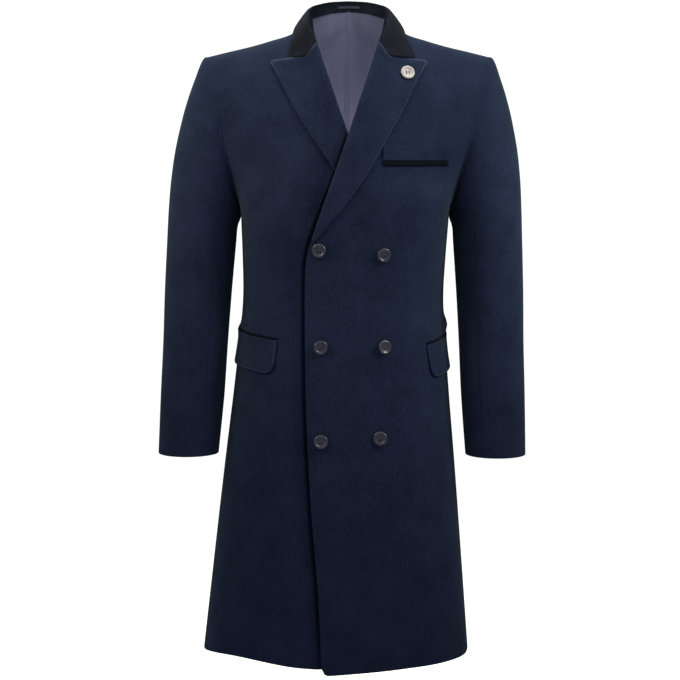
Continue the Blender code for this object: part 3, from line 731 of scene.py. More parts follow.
def satin_finish():
    """Grey mauve satin with fine threads down the coat and soft puckers."""
    sheen = {"Sheen Weight": 0.05, "Sheen Tint": (0.9, 0.9, 1.0, 1)}
    satin = Finish("mauve satin", {**sheen, "Specular IOR Level": 0.25})
    threads = satin.grain(satin.place(stretch=(1, 1, 0.06)), 1300.0, 2.0, 0.6)
    streaks = satin.grain(satin.place(stretch=(1, 1, 0.12)), 110.0, 2.0, 0.5)
    puckers = satin.grain(satin.place(stretch=(1, 1, 0.45)), 42.0, 2.0, 0.5)
    shade = threads * 0.5 + streaks * 0.6 - 0.05
    colour = satin.mix(shade, (0.038, 0.0375, 0.075), (0.065, 0.0635, 0.126))
    satin.feed(colour, threads * 0.15 + 0.36, puckers * 0.9 + threads * 0.08, 0.0035, 0.35)
    return satin.material


def tape_finish():
    """Ribbed grey tape."""
    tape = Finish("grey tape", {"Specular IOR Level": 0.0})
    ribs = tape.node(
        "ShaderNodeTexWave",
        {"wave_type": "BANDS", "bands_direction": "X"},
        {"Vector": tape.place(), "Scale": 420.0, "Distortion": 0.6},
    )
    fuzz = tape.grain(tape.place(), 900.0)
    colour = tape.mix(ribs * 0.5 + fuzz * 0.5, (0.0070, 0.0061, 0.0101), (0.0144, 0.0124, 0.0216))
    tape.feed(colour, fuzz * 0.2 + 0.55, ribs, 0.0003, 0.5)
    return tape.material


def horn_finish(name, dark, light, gloss):
    """A half polished button with a faint clouded grain and fine turning marks."""
    horn = Finish(name, {"Specular IOR Level": gloss, "Specular Tint": (0.84, 0.78, 1.0, 1)})
    clouds = horn.grain(horn.place(stretch=(1, 1, 0.5)), 260.0, 3.0, 0.55)
    marks = horn.grain(horn.place(), 1600.0, 2.0, 0.5)
    horn.feed(horn.mix(clouds * 1.8 - 0.4, dark, light), marks * 0.2 + 0.24, marks, 0.0002, 0.15)
    return horn.material


def thread_finish():
    """Dark twisted thread."""
    thread = Finish("dark thread", {"Specular IOR Level": 0.05})
    twist = thread.grain(thread.place(), 2600.0)
    colour = thread.mix(twist, (0.006, 0.007, 0.013), (0.020, 0.022, 0.036))
    thread.feed(colour, twist * 0.2 + 0.6, twist, 0.0002, 0.4)
    return thread.material


def floor_finish():
    """Plain matt studio paper."""
    paper = Finish("pale paper", {"Specular IOR Level": 0.1})
    tooth = paper.grain(paper.place(), 8.0)
    colour = paper.mix(tooth, (0.965, 0.965, 0.965), (0.975, 0.975, 0.975))
    paper.feed(colour, tooth * 0.1 + 0.85, tooth, 0.001, 0.05)
    return paper.material


WOOL = wool_finish()
VELVET = velvet_finish("black velvet", (0.0013, 0.0014, 0.0025), (0.0062, 0.0060, 0.0108), 0.03)
# A darker copy of the black velvet: painted shade on the pocket jets, the breast welt's trim and the collar's
# stand and inner fold
SHADED_VELVET = velvet_finish("black trim velvet", (0.0008, 0.0010, 0.0020), (0.0026, 0.0032, 0.0060), 0.01)
SATIN = satin_finish()
TAPE = tape_finish()
HORN = horn_finish("dark button", (0.0020, 0.0023, 0.0050), (0.0064, 0.0072, 0.0140), 0.28)
IVORY = horn_finish("pale button", (0.092, 0.078, 0.095), (0.141, 0.121, 0.144), 0.20)
THREAD = thread_finish()
PAPER = floor_finish()


def put(name, data):
    """A new object in the scene."""
    thing = bpy.data.objects.new(name, data)
    bpy.context.scene.collection.objects.link(thing)
    return thing


def settled(thing):
    """The mesh of an object as its modifiers shape it. The object itself goes."""
    mesh = bpy.data.meshes.new_from_object(thing.evaluated_get(bpy.context.evaluated_depsgraph_get()))
    bpy.data.objects.remove(thing, do_unlink=True)
    return mesh


def add_piece(name, mesh, nodes):
    """A finished piece in place of its solids."""
    mesh.shade_smooth()
    piece = put(name, mesh)
    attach(piece, "root")
    if nodes:
        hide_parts(*nodes)
    return piece


def grid_normals(points, outside):
    """The normals of a grid of points, on the side where the named direction points at its middle."""
    across, along = np.gradient(points, axis=1), np.gradient(points, axis=0)
    normals = unit(np.cross(across, along))
    middle = tuple(size // 2 for size in points.shape[:2])
    return normals if np.dot(normals[middle], outside[middle]) >= 0 else -normals


RIM_TURNS = np.radians((30, 60, 90, 120, 150))


def rim_places(rows, columns):
    """Rows and columns of the rim of a grid, once round."""
    loop = [(0, c) for c in range(columns)] + [(r, columns - 1) for r in range(1, rows)]
    loop += [(rows - 1, c) for c in range(columns - 2, -1, -1)] + [(r, 0) for r in range(rows - 2, 0, -1)]
    return tuple(np.array(loop).T)


def shell_points(points, normals, wall, at_rim):
    """Points of the outer face, of the inner face and of rings that round the rim between them."""
    rows, columns = points.shape[:2]
    rim, rim_normal = points[at_rim], normals[at_rim]
    onward = np.roll(rim, -1, axis=0) - np.roll(rim, 1, axis=0)
    inside = points[np.clip(at_rim[0], 1, rows - 2), np.clip(at_rim[1], 1, columns - 2)] - rim
    away = unit(np.cross(onward, rim_normal))
    away *= np.where((away * inside).sum(axis=1) > 0, -1, 1)[:, None]
    outer = points.copy()
    outer[at_rim] -= away * wall / 2
    inner = outer - normals * wall
    middle = outer[at_rim] - rim_normal * wall / 2
    found = [outer.reshape(-1, 3), inner.reshape(-1, 3)]
    for turn in RIM_TURNS:
        found.append(middle + (rim_normal * math.cos(turn) + away * math.sin(turn)) * wall / 2)
    return np.concatenate(found)


def shell_faces(rows, columns, at_rim):
    """Faces on the shell's points: the outer face, the inner face, then the rim."""
    count, length = rows * columns, len(at_rim[0])
    index = np.arange(count).reshape(rows, columns)
    corners = (index[:-1, :-1], index[:-1, 1:], index[1:, 1:], index[1:, :-1])
    quads = np.stack(corners, axis=-1).reshape(-1, 4)
    rounding = [2 * count + ring * length + np.arange(length) for ring in range(len(RIM_TURNS))]
    rings = [index[at_rim], *rounding, index[at_rim] + count]
    faces = [quads, quads[:, ::-1] + count]
    for near, far in zip(rings, rings[1:]):
        faces.append(np.stack([near, far, np.roll(far, -1), np.roll(near, -1)], axis=-1))
    return np.concatenate(faces)


def face_outward(mesh):
    """Turns the faces of a closed mesh outward."""
    shell = bmesh.new()
    shell.from_mesh(mesh)
    bmesh.ops.recalc_face_normals(shell, faces=shell.faces[:])
    if shell.calc_volume(signed=True) < 0:
        bmesh.ops.reverse_faces(shell, faces=shell.faces[:])
    shell.to_mesh(mesh)
    shell.free()


def cloth(name, points, outside, wall, finishes, lined=None, painted_highlight=None):
    """A closed cloth shell with rounded edges on a grid of outer points. lined marks the inner faces that
    show the second finish, painted_highlight how strongly a painted highlight lightens the wool along pressed
    edges."""
    rows, columns = points.shape[:2]
    at_rim = rim_places(rows, columns)
    verts = shell_points(points, grid_normals(points, outside), wall, at_rim)
    mesh = bpy.data.meshes.new(name)
    mesh.from_pydata(verts.tolist(), [], shell_faces(rows, columns, at_rim).tolist())
    for finish in finishes:
        mesh.materials.append(finish)
    if lined is not None:
        quads = (rows - 1) * (columns - 1)
        finish_index = np.zeros(len(mesh.polygons), dtype=np.int32)
        finish_index[quads : 2 * quads] = lined[:-1, :-1].reshape(-1)
        mesh.polygons.foreach_set("material_index", finish_index)
    if painted_highlight is not None:
        values = [painted_highlight.ravel(), np.zeros(rows * columns)] + [painted_highlight[at_rim]] * len(RIM_TURNS)
        mesh.attributes.new("painted_edge_highlight", "FLOAT", "POINT").data.foreach_set("value", np.concatenate(values))
    face_outward(mesh)
    return add_piece(name, mesh, (name,))


ALLOWANCE = 0.009
ALLOWANCE_INSET = 0.0036
INTO_BODY = (-0.974, 0, 0.225)
ALLOWANCE_ROWS = 6
CAP_END = 4
CAP_ROWS = 32
ARM_ROWS = 80
TOP_SLEEVE_COLUMNS = 72
UNDER_SLEEVE_COLUMNS = 40
CUFF_FACING_ALONG = 12.6
LOWER_ROWS = 96
UPPER_ROWS = 70
FRONT_COLUMNS = 73
FRONT_CROWDING = 1.1
UNDER_COLUMNS = (18, 36, 36)
BACK_COLUMNS = 64
NECK_COLUMNS = 24
LEVELS = np.concatenate(
    [
        np.linspace(-1, 0, LOWER_ROWS, endpoint=False),
        (1 - np.cos(np.linspace(0, math.pi, UPPER_ROWS + 1))) / 2,
    ]
)


def under_columns(edge, end):
    """Angles across the under front, closer together in the trough beside the other front's edge."""

    def is_low(angle):
        point = body(-angle, LEVELS, FRONT)
        return point[..., 0] > roll_x(point[..., 2]) + TROUGH_WIDTH / 2

    span = end - edge
    start = halving(-FARTHEST_EDGE, FARTHEST_EDGE, is_low, LEVELS.shape)
    start = edge + np.clip(start - edge, TROUGH_START[0] * span, TROUGH_START[1] * span)
    knots = np.stack([edge, start, start + TROUGH_SPAN * span, end], axis=1)
    steps = np.interp(np.arange(sum(UNDER_COLUMNS) + 1), np.cumsum((0, *UNDER_COLUMNS)), (0, 1, 2, 3))
    index = np.minimum(steps.astype(int), 2)
    return knots[:, index] + (knots[:, index + 1] - knots[:, index]) * (steps - index)


def hem_lift(angle, level):
    """How far the under front's hem swings up between its edge and the side of the coat."""
    near = soft_step(1 - np.abs(angle - HEM_LIFT_AT) / HEM_LIFT_WIDTH)
    return HEM_LIFT * near * near_hem(level)


def add_front(name, side):
    part = np.linspace(0, 1, FRONT_COLUMNS) ** FRONT_CROWDING
    edge = edge_angle(LEVELS, side)
    end = side_angle(LEVELS) - np.where(LEVELS <= 0, SEAM_GAP / ARMPIT_HALF, 0)
    angle = edge[:, None] + (end - edge)[:, None] * part if side > 0 else under_columns(edge, end)
    angle = angle * side
    level = np.broadcast_to(LEVELS[:, None], angle.shape)
    flat = body(angle, level, FRONT)
    dip = overlap_dip(flat[..., 0], flat[..., 2]) if side < 0 else np.zeros(angle.shape)
    points = on_body(angle, level, FRONT, -dip)
    if side > 0:
        near = np.maximum(0, 1 - part / HEM_DROP_WIDTH) ** HEM_DROP_FADE
        points[..., 2] -= HEM_DROP * near * near_hem(level)
    else:
        points[..., 2] += hem_lift(angle, level)
    rise = corner_cut(lengths(points[0], 0), HEM_CORNER)
    points[..., 2] += rise * np.maximum(0, 1 - (level + 1) / HEM_CORNER_RISE)
    lined = (lengths(points, 1) > FRONT_FACING) & (level > LINING_EDGE_LEVEL)
    cloth(name, points, points * (1, 1, 0), WALL, (WOOL, SATIN), lined)


def on_back(column, level, out):
    level = np.where(level > 0, level * neck_top(np.abs(column)), level)
    end = math.pi - side_angle(level) - np.where(level <= 0, SEAM_GAP / ARMPIT_HALF, 0)
    return on_body(end * column, level, BACK, out)


def back_columns(count):
    """Columns of a back from the centre seam to the side, closer together round the neck."""
    neck = np.linspace(0, NECK_HALF, NECK_COLUMNS)
    x = np.concatenate([neck, np.linspace(NECK_HALF, SHOULDER_HALF, count - NECK_COLUMNS + 1)[1:]])
    return row_angle(x, np.ones(len(x))) / (math.pi / 2)


def add_back(name, side):
    columns = back_columns(BACK_COLUMNS)
    columns[0] = SEAM_GAP / ARMPIT_HALF
    column, level = np.meshgrid(columns * side, LEVELS)
    points = on_back(column, level, np.zeros(column.shape))
    cloth(name, points, points * (1, 1, 0), WALL, (WOOL, SATIN), level > LINING_EDGE_LEVEL)


def add_sleeve(name, side, start, end, columns):
    """A sleeve piece. Its first rows are the seam allowance, turned in through the armhole."""
    seam = SEAM_GAP / (2 * SLEEVE_RINGS[-1][5])
    cap = np.linspace(0, CAP_END, CAP_ROWS, endpoint=False)
    along = np.concatenate([cap, np.linspace(CAP_END, SLEEVE_RINGS[-1][0], ARM_ROWS)])
    angle, along = np.meshgrid(np.linspace(start + seam, end - seam, columns + 1), along)
    points = sleeve(angle, along, side)
    centre = sleeve_centre(angle, along, side)
    turned_in = np.linspace(1, 0, ALLOWANCE_ROWS, endpoint=False)[:, None, None]
    smaller = unit(centre[:1] - points[:1]) * ALLOWANCE_INSET * soft_step(2 * turned_in)
    allowance = points[:1] + smaller + np.array(INTO_BODY) * (side, 1, 1) * ALLOWANCE * turned_in
    centre = np.concatenate([np.broadcast_to(centre[:1], allowance.shape), centre])
    lined = np.concatenate([np.ones(allowance.shape[:2], bool), along < CUFF_FACING_ALONG])
    points = np.concatenate([allowance, points])
    cloth(name, points, points - centre, WALL, (WOOL, SATIN), lined)


def lapel_out(x, z, side):
    """How far the lapel's outer face stands off the form: more along the soft roll, less where covered."""
    from_roll = np.maximum(0, x * side - roll_x(z))
    lift = ROLL_LIFT * bell(from_roll, ROLL_WIDTH) * soft_step((z - BREAK_Z) / BREAK_RISE)
    if side > 0:
        return FACING_GAP + FACING_WALL + lift
    covered = soft_step((x - roll_x(z)) / OVERLAP_RAMP + 1)
    return FACING_GAP + FACING_WALL + lift * (1 - covered) - overlap_dip(x, z)


def neck_edge(along):
    """The inner rim of the neckline, its outward direction and the way its cloth runs on."""
    behind = along <= SHOULDER_ALONG
    neck_column = row_angle(np.array([NECK_HALF]), np.ones(1))[0] / (math.pi / 2)
    turn = math.pi * np.minimum(along, SHOULDER_ALONG)
    column = neck_column * np.sin(turn) * (1 - NECK_ROUNDING * np.sin(2 * turn) ** 2)
    back_angle, back_level = column * math.pi / 2, neck_top(column)
    z = smooth(COLLAR_NECK, np.maximum(along, SHOULDER_ALONG))[0]
    front_angle, front_level = seen_from_front(panel_edge_x(z, NECK_SETBACK), z)
    step = 0.01
    found = []
    for angle, level, face in ((back_angle, back_level, BACK), (front_angle, front_level, FRONT)):
        normal = body_normal(angle, level, face)
        place = body(angle, level, face)
        onward = body(angle - step, level, face) - place
        if face == BACK:
            onward += body(angle, np.minimum(1, level + step), face) - place
        found.append((place - normal * WALL, normal, unit(onward)))
    return [np.where(behind[..., None], back, front) for back, front in zip(*found)]


def collar_edge(along):
    """The outer edge of the collar's fall, on the back and over the shoulders to the front."""
    x, rise = smooth(COLLAR_EDGE, along)
    at_end = soft_step((along - COLLAR_END_FROM) / (1 - COLLAR_END_FROM))
    out = FACING_WALL + COLLAR_GAP * (1 - (1 - COLLAR_END_GAP) * at_end)
    behind = soft_step(along / COLLAR_BACK_END)
    even = seen_from_front(x, COLLAR_BACK_EDGE_Z + COLLAR_BACK_EDGE_RISE * behind)[1]
    level = np.where(rise <= 1, rise, 2 - rise)
    level = even + (level - even) * soft_step(along / COLLAR_BACK_END * 2 - 1)
    angle = row_angle(x, level)
    on_back_face, on_front_face = (on_body(angle, level, face, out) for face in (BACK, FRONT))
    return np.where((rise <= 1)[..., None], on_back_face, on_front_face)


STAND_PARTS = np.linspace(0, 1, 8, endpoint=False)
FOLD_TURNS = np.radians(np.linspace(-90, 90, 15))
FALL_PARTS = np.linspace(0, 1, 19)[1:]
FALL_START = len(STAND_PARTS) + len(FOLD_TURNS) - 1
SECTION_COUNT = len(STAND_PARTS) + len(FOLD_TURNS) + len(FALL_PARTS)
# Stations of the collar lie closer together beyond this one, near its ends
CLOSE_FROM = 0.85
WIDE_STATIONS = 70
CLOSE_STATIONS = 18


def collar_points(along, index):
    """Points of the collar's outer face at stations and places round its section."""
    fold = np.moveaxis(smooth(COLLAR_FOLD, along), 0, -1)
    edge = collar_edge(along)
    rim, normal, onward = neck_edge(along)
    seam = rim + onward * COLLAR_SEAM_ONWARD + normal * COLLAR_SEAM_OUT
    upward = unit(fold - (seam + edge) / 2)
    outward = edge - seam
    outward = unit(outward - upward * (outward * upward).sum(axis=-1, keepdims=True))
    middle = fold - upward * COLLAR_FOLD_RADIUS
    stand_top = middle - outward * COLLAR_FOLD_RADIUS
    start = middle + outward * COLLAR_FOLD_RADIUS
    facing = unit(np.cross(edge - start, np.cross(outward, upward)))
    facing *= np.where((facing * outward).sum(axis=-1, keepdims=True) < 0, -1, 1)
    stand = np.clip(index, 0, len(STAND_PARTS) - 1)
    turn = np.clip(index - len(STAND_PARTS), 0, len(FOLD_TURNS) - 1)
    fall = np.clip(index - len(STAND_PARTS) - len(FOLD_TURNS), 0, len(FALL_PARTS) - 1)
    low = 1 - STAND_PARTS[stand][..., None]
    reach = STAND_REACH + NECK_POINT_REACH * bell(along - NECK_POINT_ALONG, NECK_POINT_WIDTH)[..., None]
    stand_point = seam + (stand_top - seam) * (1 - low * reach) - normal * STAND_LEAN * low**2
    angle = FOLD_TURNS[turn][..., None]
    fold_point = middle + (outward * np.sin(angle) + upward * np.cos(angle)) * COLLAR_FOLD_RADIUS
    part = FALL_PARTS[fall][..., None]
    fall_point = start + (edge - start) * part + facing * COLLAR_FALL_ROLL * np.sin(math.pi * part)
    on_stand, on_fold = index < len(STAND_PARTS), index < len(STAND_PARTS) + len(FOLD_TURNS)
    return np.where(on_stand[..., None], stand_point, np.where(on_fold[..., None], fold_point, fall_point))


def beyond_notch(part):
    return np.clip((part - NOTCH_PART) / (1 - NOTCH_PART), 0, 1)


def collar_end(part):
    """How far forward a strip of the collar runs: to the gorge seam, the notch, then its own end."""
    to_notch = (NOTCH_ALONG - GORGE_ALONG) * np.clip(part / NOTCH_PART, 0, 1)
    return GORGE_ALONG + to_notch + (COLLAR_END_ALONG - NOTCH_ALONG) * beyond_notch(part)


def collar_grid():
    wide = np.linspace(0, CLOSE_FROM, WIDE_STATIONS, endpoint=False)
    stations = np.concatenate([wide, np.linspace(CLOSE_FROM, 1, CLOSE_STATIONS)])
    stations = np.concatenate([-stations[:0:-1], stations])
    index, station = np.meshgrid(np.arange(SECTION_COUNT), stations)
    part = (index - FALL_START) / (SECTION_COUNT - 1 - FALL_START)
    points = collar_points(np.abs(station) * collar_end(part), index)
    points[..., 0] *= np.where(station < 0, -1, 1)
    shift = COLLAR_SHIFT * beyond_notch(part) + ROLL_SHIFT * (1 - np.clip(part / NOTCH_PART, 0, 1))
    points[..., 0] += shift * soft_step((np.abs(station) - COLLAR_SHIFT_FROM) / (1 - COLLAR_SHIFT_FROM))
    return points


COLLAR = collar_grid()


def add_collar():
    """The collar. Its stand and the inner half of its fold take the darker velvet copy as painted shade."""
    collar = cloth("collar", COLLAR, COLLAR * (1, 1, 0), COLLAR_WALL, (VELVET, SHADED_VELVET))
    stand_in_shade = np.arange(SECTION_COUNT - 1) < len(STAND_PARTS) + len(FOLD_TURNS) // 2
    finish = np.zeros(len(collar.data.polygons), dtype=np.int32)
    finish[: len(stand_in_shade) * (len(COLLAR) - 1)] = np.tile(stand_in_shade, len(COLLAR) - 1)
    collar.data.polygons.foreach_set("material_index", finish)


GORGE_LINE = COLLAR[-1, FALL_START:]
GORGE_LINE = GORGE_LINE[: int(NOTCH_PART * (len(GORGE_LINE) - 1)) + 1]
LAPEL_TOP_Z = GORGE_LINE[0, 2] + GORGE_UNDERLAP


def lapel_edge(row, side):
    """Across and up on the outer edge of a lapel."""
    left_x, right_x, z = smooth(LAPEL_EDGE, row)
    return left_x if side > 0 else right_x, z


def lapel_place(column, row, side):
    """Across and up on a lapel. column is 0 on the roll line, row 0 at the break and 1 along the gorge."""
    z = BREAK_Z + (LAPEL_TOP_Z - BREAK_Z) * row
    edge_x, edge_z = lapel_edge(row, side)
    start = np.array((roll_x(np.array(LAPEL_TOP_Z)), LAPEL_TOP_Z))
    peak = np.array(LAPEL_PEAK)
    under = GORGE_UNDERLAP * np.linspace(1, 0, len(GORGE_LINE))
    gorge_x = np.concatenate([[start[0]], GORGE_LINE[2:, 0], [peak[0]]])
    gorge_z = np.concatenate([[start[1]], (GORGE_LINE[:, 2] - SEAM_GAP + under)[2:], [peak[1]]])
    order = np.argsort(gorge_x)
    top_x = start[0] + (peak[0] - start[0]) * column
    top_z = np.interp(top_x, gorge_x[order], gorge_z[order])
    bend = top_z - (start[1] + (peak[1] - start[1]) * column)
    x = roll_x(z) + (edge_x - roll_x(z)) * column
    cut = corner_cut((1 - column) * (peak[0] - start[0]), PEAK_CORNER)
    bend = bend * soft_step((row - GORGE_BEND_FROM) / (1 - GORGE_BEND_FROM))
    return x, z + (edge_z - z) * column + bend - cut * soft_step((row - PEAK_FROM) / (1 - PEAK_FROM))


LAPEL_ROWS = 91
LAPEL_COLUMNS = 45
ROLL_COLUMNS = 10


def add_lapel(name, side):
    rows = np.linspace(0, 1, LAPEL_ROWS)
    radius = ROLL_RADIUS * soft_step(rows / ROLL_OPENING) + ROLL_AT_BREAK
    columns = np.linspace(0, 1, LAPEL_COLUMNS)[1:]
    z = BREAK_Z + (LAPEL_TOP_Z - BREAK_Z) * rows
    first = np.minimum(ROLL_MOST, radius / (lapel_edge(rows, side)[0] - roll_x(z)))
    turn, _ = np.meshgrid(np.linspace(ROLL_TUCK, 0, ROLL_COLUMNS), rows)
    roll_part = first[:, None] * (1 + np.sin(turn))
    flat_part = first[:, None] + (1 - first[:, None]) * columns
    part = np.concatenate([roll_part, flat_part], axis=1)
    row = np.broadcast_to(rows[:, None], part.shape)
    x, z = lapel_place(part, row, side)
    out = lapel_out(x * side, z, side)
    drop = np.concatenate([radius[:, None] * (1 - np.cos(turn)), np.zeros(flat_part.shape)], axis=1)
    from_edge = (1 - part) * (lapel_edge(row, side)[0] - roll_x(z))
    from_top = (1 - row) * (GORGE_Z - BREAK_Z)
    near = np.minimum(from_edge, from_top)
    swell = bell(near, EDGE_SWELL_WIDTH) - np.clip(1 - near / EDGE_TURN, 0, 1) ** 2
    shift = ROLL_SHIFT * soft_step(row) * (1 - part)
    out = out - drop + EDGE_SWELL * swell * soft_step(row / ROLL_OPENING)
    points = off_front(x * side + shift, z, out)
    # Painted highlight along the lapel's outer and top edges, fading out towards the break
    painted_highlight = bell(near, HIGHLIGHT_WIDTH) * soft_step((row - HIGHLIGHT_FROM) / HIGHLIGHT_RISE)
    facing = np.broadcast_to(FORWARD, points.shape)
    cloth(name, points, facing, LAPEL_WALL, (WOOL,), painted_highlight=painted_highlight)


LINING_END_Z = -0.46
LINING_COLUMNS = 56
PLEAT_DEPTH = 0.0018
PLEAT_WIDTH = 0.011
PLEAT_FROM = 0.1
PLEAT_RISE = 0.5
# Wrinkles of the lining below the collar: slope, middle across and up in levels, half width, height
LINING_WRINKLES = (
    (0.25, -0.10, 0.900, 0.012, 0.0010),
    (-0.25, 0.09, 0.890, 0.011, 0.0012),
    (0.10, -0.04, 0.850, 0.014, 0.0008),
    (-0.10, 0.13, 0.800, 0.016, 0.0008),
)
WRINKLE_SAG = 1.5
WRINKLE_REACH = 0.08


def add_lining():
    half = back_columns(LINING_COLUMNS)[:-2]
    columns = np.concatenate([-half[:0:-1], half])
    column, level = np.meshgrid(columns, LEVELS[LEVELS > z_level(LINING_END_Z)])
    inward = WALL + LAY_GAP + LINING_WALL
    inward += PLEAT_DEPTH * bell(column, PLEAT_WIDTH) * soft_step((level - PLEAT_FROM) / PLEAT_RISE)
    for slope, across, up, width, height in LINING_WRINKLES:
        away = column - across
        line = up + away * slope + WRINKLE_SAG * away**2
        inward += height * bell(away, WRINKLE_REACH) * bell(level - line, width)
    points = on_back(column, level, -inward)
    cloth("back_lining", points, points * (-1, -1, 0), LINING_WALL, (SATIN,))


LOOP_COLUMNS = 41
LOOP_ROWS = 9


def add_hanger_loop():
    """Puts the hanger loop on and returns the points on which it is sewn."""
    along = np.linspace(-LOOP_END, LOOP_END, LOOP_COLUMNS)
    along, rise = np.meshgrid(along, np.linspace(LOOP_LOW, LOOP_HIGH, LOOP_ROWS))
    low = collar_points(np.abs(along), np.zeros(along.shape, int))
    high = collar_points(np.abs(along), np.full(along.shape, len(STAND_PARTS)))
    facing = unit(-neck_edge(np.abs(along))[1])
    points = low + (high - low) * rise[..., None] + facing * (LOOP_GAP + LINING_WALL)
    for mirrored in (points, facing):
        mirrored[..., 0] *= np.where(along < 0, -1, 1)
    cloth("hanger_loop", points, facing, LINING_WALL, (TAPE,))
    return points + facing * THREAD_RADIUS


WELT_COLUMNS = 61
WELT_ROWS = 15


def add_welt_strip(name, low_z, high_z, thickness, finish):
    x, z = np.meshgrid(np.linspace(*WELT_X, WELT_COLUMNS), np.linspace(low_z, high_z, WELT_ROWS))
    points = off_front(x, z, np.full(x.shape, FACING_GAP + thickness))
    cloth(name, points, np.broadcast_to(FORWARD, points.shape), thickness, (finish,))


FLAP_TURN = 1.6
FLAP_TURN_STEP = 0.002
FLAP_COLUMNS = 71
FLAP_ROWS = 29
JET_ROWS = 7


def flap_angles(side):
    """Angles along a hip flap, evenly spaced by length round the body."""
    level = np.array(z_level(FLAP_TOP_Z))
    start = seen_from_front(np.array(CENTRE_FRONT + side * FLAP_FRONT), np.array(FLAP_TOP_Z))[0]
    angles = start + side * np.arange(0, FLAP_TURN, FLAP_TURN_STEP)
    length = lengths(body(angles, level, FRONT), 0)
    return lambda along: np.interp(along * FLAP_LENGTH, length, angles)


def lay_on_front(name, angle, z, out, wall, finish, painted_highlight=None):
    """A strip laid on the front at angles round the coat and heights."""
    points = on_body(angle, z_level(z), FRONT, out)
    outside = body_normal(angle, z_level(z), FRONT)
    cloth(name, points, outside, wall, (finish,), painted_highlight=painted_highlight)


def add_hip_pocket(word, side):
    angle_at = flap_angles(side)
    front_drop, back_rise, front_slant = FLAP_LIE[word]
    column, row = np.meshgrid(np.linspace(0, 1, FLAP_COLUMNS), np.linspace(0, 1, FLAP_ROWS))
    from_end = np.minimum(column, 1 - column) * FLAP_LENGTH
    height = FLAP_HEIGHT - corner_cut(from_end, FLAP_CORNER)
    slant = front_slant / FLAP_LENGTH * (1 - row) * (1 - column)
    z = FLAP_TOP_Z - front_drop + back_rise * column - height * (1 - row)
    angle = angle_at(np.minimum(1, column + slant))
    out = LAY_GAP + WALL + FLAP_FLARE[word] * (1 - row) ** 2
    # Painted highlight along the flap's ends and lower edge
    painted_highlight = FLAP_HIGHLIGHT * bell(np.minimum(from_end, row * height), HIGHLIGHT_WIDTH)
    lay_on_front(f"hip_flap_{word}", angle, z, out, WALL, WOOL, painted_highlight)
    column, row = np.meshgrid(np.linspace(0, 1, FLAP_COLUMNS), np.linspace(0, 1, JET_ROWS))
    z = FLAP_TOP_Z - front_drop + back_rise * column + LAY_GAP + JET_HEIGHT * row
    out = np.full(z.shape, JET_OUT)
    # The jet takes the darker velvet copy as painted shade
    lay_on_front(f"hip_jet_{word}", angle_at(column), z, out, TRIM_WALL, SHADED_VELVET)


# Half profile of a button from the middle of its face to the middle of its back: radius, height
BUTTON_PROFILE = (
    (0.0, 0.00225),
    (0.0045, 0.00235),
    (0.0066, 0.00255),
    (0.0072, 0.00290),
    (0.0080, 0.00345),
    (0.0092, 0.00385),
    (0.0102, 0.00380),
    (0.0111, 0.00320),
    (BUTTON_RADIUS, 0.00235),
    (0.0111, 0.00125),
    (0.0098, 0.00030),
    (0.0085, 0.0),
    (0.0, 0.0),
)
# Front buttons, sewn on a little unevenly: across, up, lean to the side and forward in degrees
BUTTON_PLACES = (
    (-0.0478, -0.3495, -3, 2),
    (0.0554, -0.3567, 6, 5),
    (-0.0455, -0.5044, 12, 5),
    (0.0568, -0.5044, 14, 0),
    (-0.0452, -0.6558, 8, -3),
    (0.0504, -0.6506, -16, 1),
)
BUTTON_BACK_RADIUS = 0.0095
HOLE_SPACING = 0.0021
HOLE_RADIUS = 0.0011
HOLE_SIDES = 16
DRILL_LENGTH = 0.02
BUTTON_SIDES = 56
SHARP_EDGE = math.radians(50)


def button_shape():
    """A turned button with four holes through it."""
    turned = bmesh.new()
    rings = []
    for radius, height in BUTTON_PROFILE:
        if radius == 0:
            rings.append([turned.verts.new((0, 0, height))] * BUTTON_SIDES)
            continue
        ring = []
        for turn in range(BUTTON_SIDES):
            angle = 2 * math.pi * turn / BUTTON_SIDES
            ring.append(turned.verts.new((radius * math.cos(angle), radius * math.sin(angle), height)))
        rings.append(ring)
    for near, far in zip(rings, rings[1:]):
        for turn in range(BUTTON_SIDES):
            following = (turn + 1) % BUTTON_SIDES
            corners = (near[turn], far[turn], far[following], near[following])
            turned.faces.new(list(dict.fromkeys(corners)))
    bmesh.ops.recalc_face_normals(turned, faces=turned.faces[:])
    mesh = bpy.data.meshes.new("turned button")
    turned.to_mesh(mesh)
    turned.free()
    blank = put("turned button", mesh)
    drills = bmesh.new()
    sizes = {"radius1": HOLE_RADIUS, "radius2": HOLE_RADIUS, "depth": DRILL_LENGTH}
    for across in (-1, 1):
        for up in (-1, 1):
            place = Matrix.Translation((across * HOLE_SPACING, up * HOLE_SPACING, 0))
            bmesh.ops.create_cone(drills, cap_ends=True, segments=HOLE_SIDES, matrix=place, **sizes)
    drill_mesh = bpy.data.meshes.new("button drills")
    drills.to_mesh(drill_mesh)
    drills.free()
    drill = put("button drills", drill_mesh)
    cut = blank.modifiers.new("holes", "BOOLEAN")
    cut.operation = "DIFFERENCE"
    cut.object = drill
    drilled = settled(blank)
    bpy.data.objects.remove(drill, do_unlink=True)
    return drilled


def button_places():
    """Name, place, height over the form, lean, finish and slot of each button."""
    places = []
    for number, (x, z, *lean) in enumerate(BUTTON_PLACES, start=1):
        places.append((f"button_{number}", x, z, LAY_GAP, lean, HORN, "button"))
    x, z = LAPEL_BUTTON_AT
    out = float(lapel_out(np.array(x), np.array(z), 1)) + LAY_GAP
    places.append(("lapel_button", x, z, out, (0, 0), IVORY, "pale_button"))
    return places


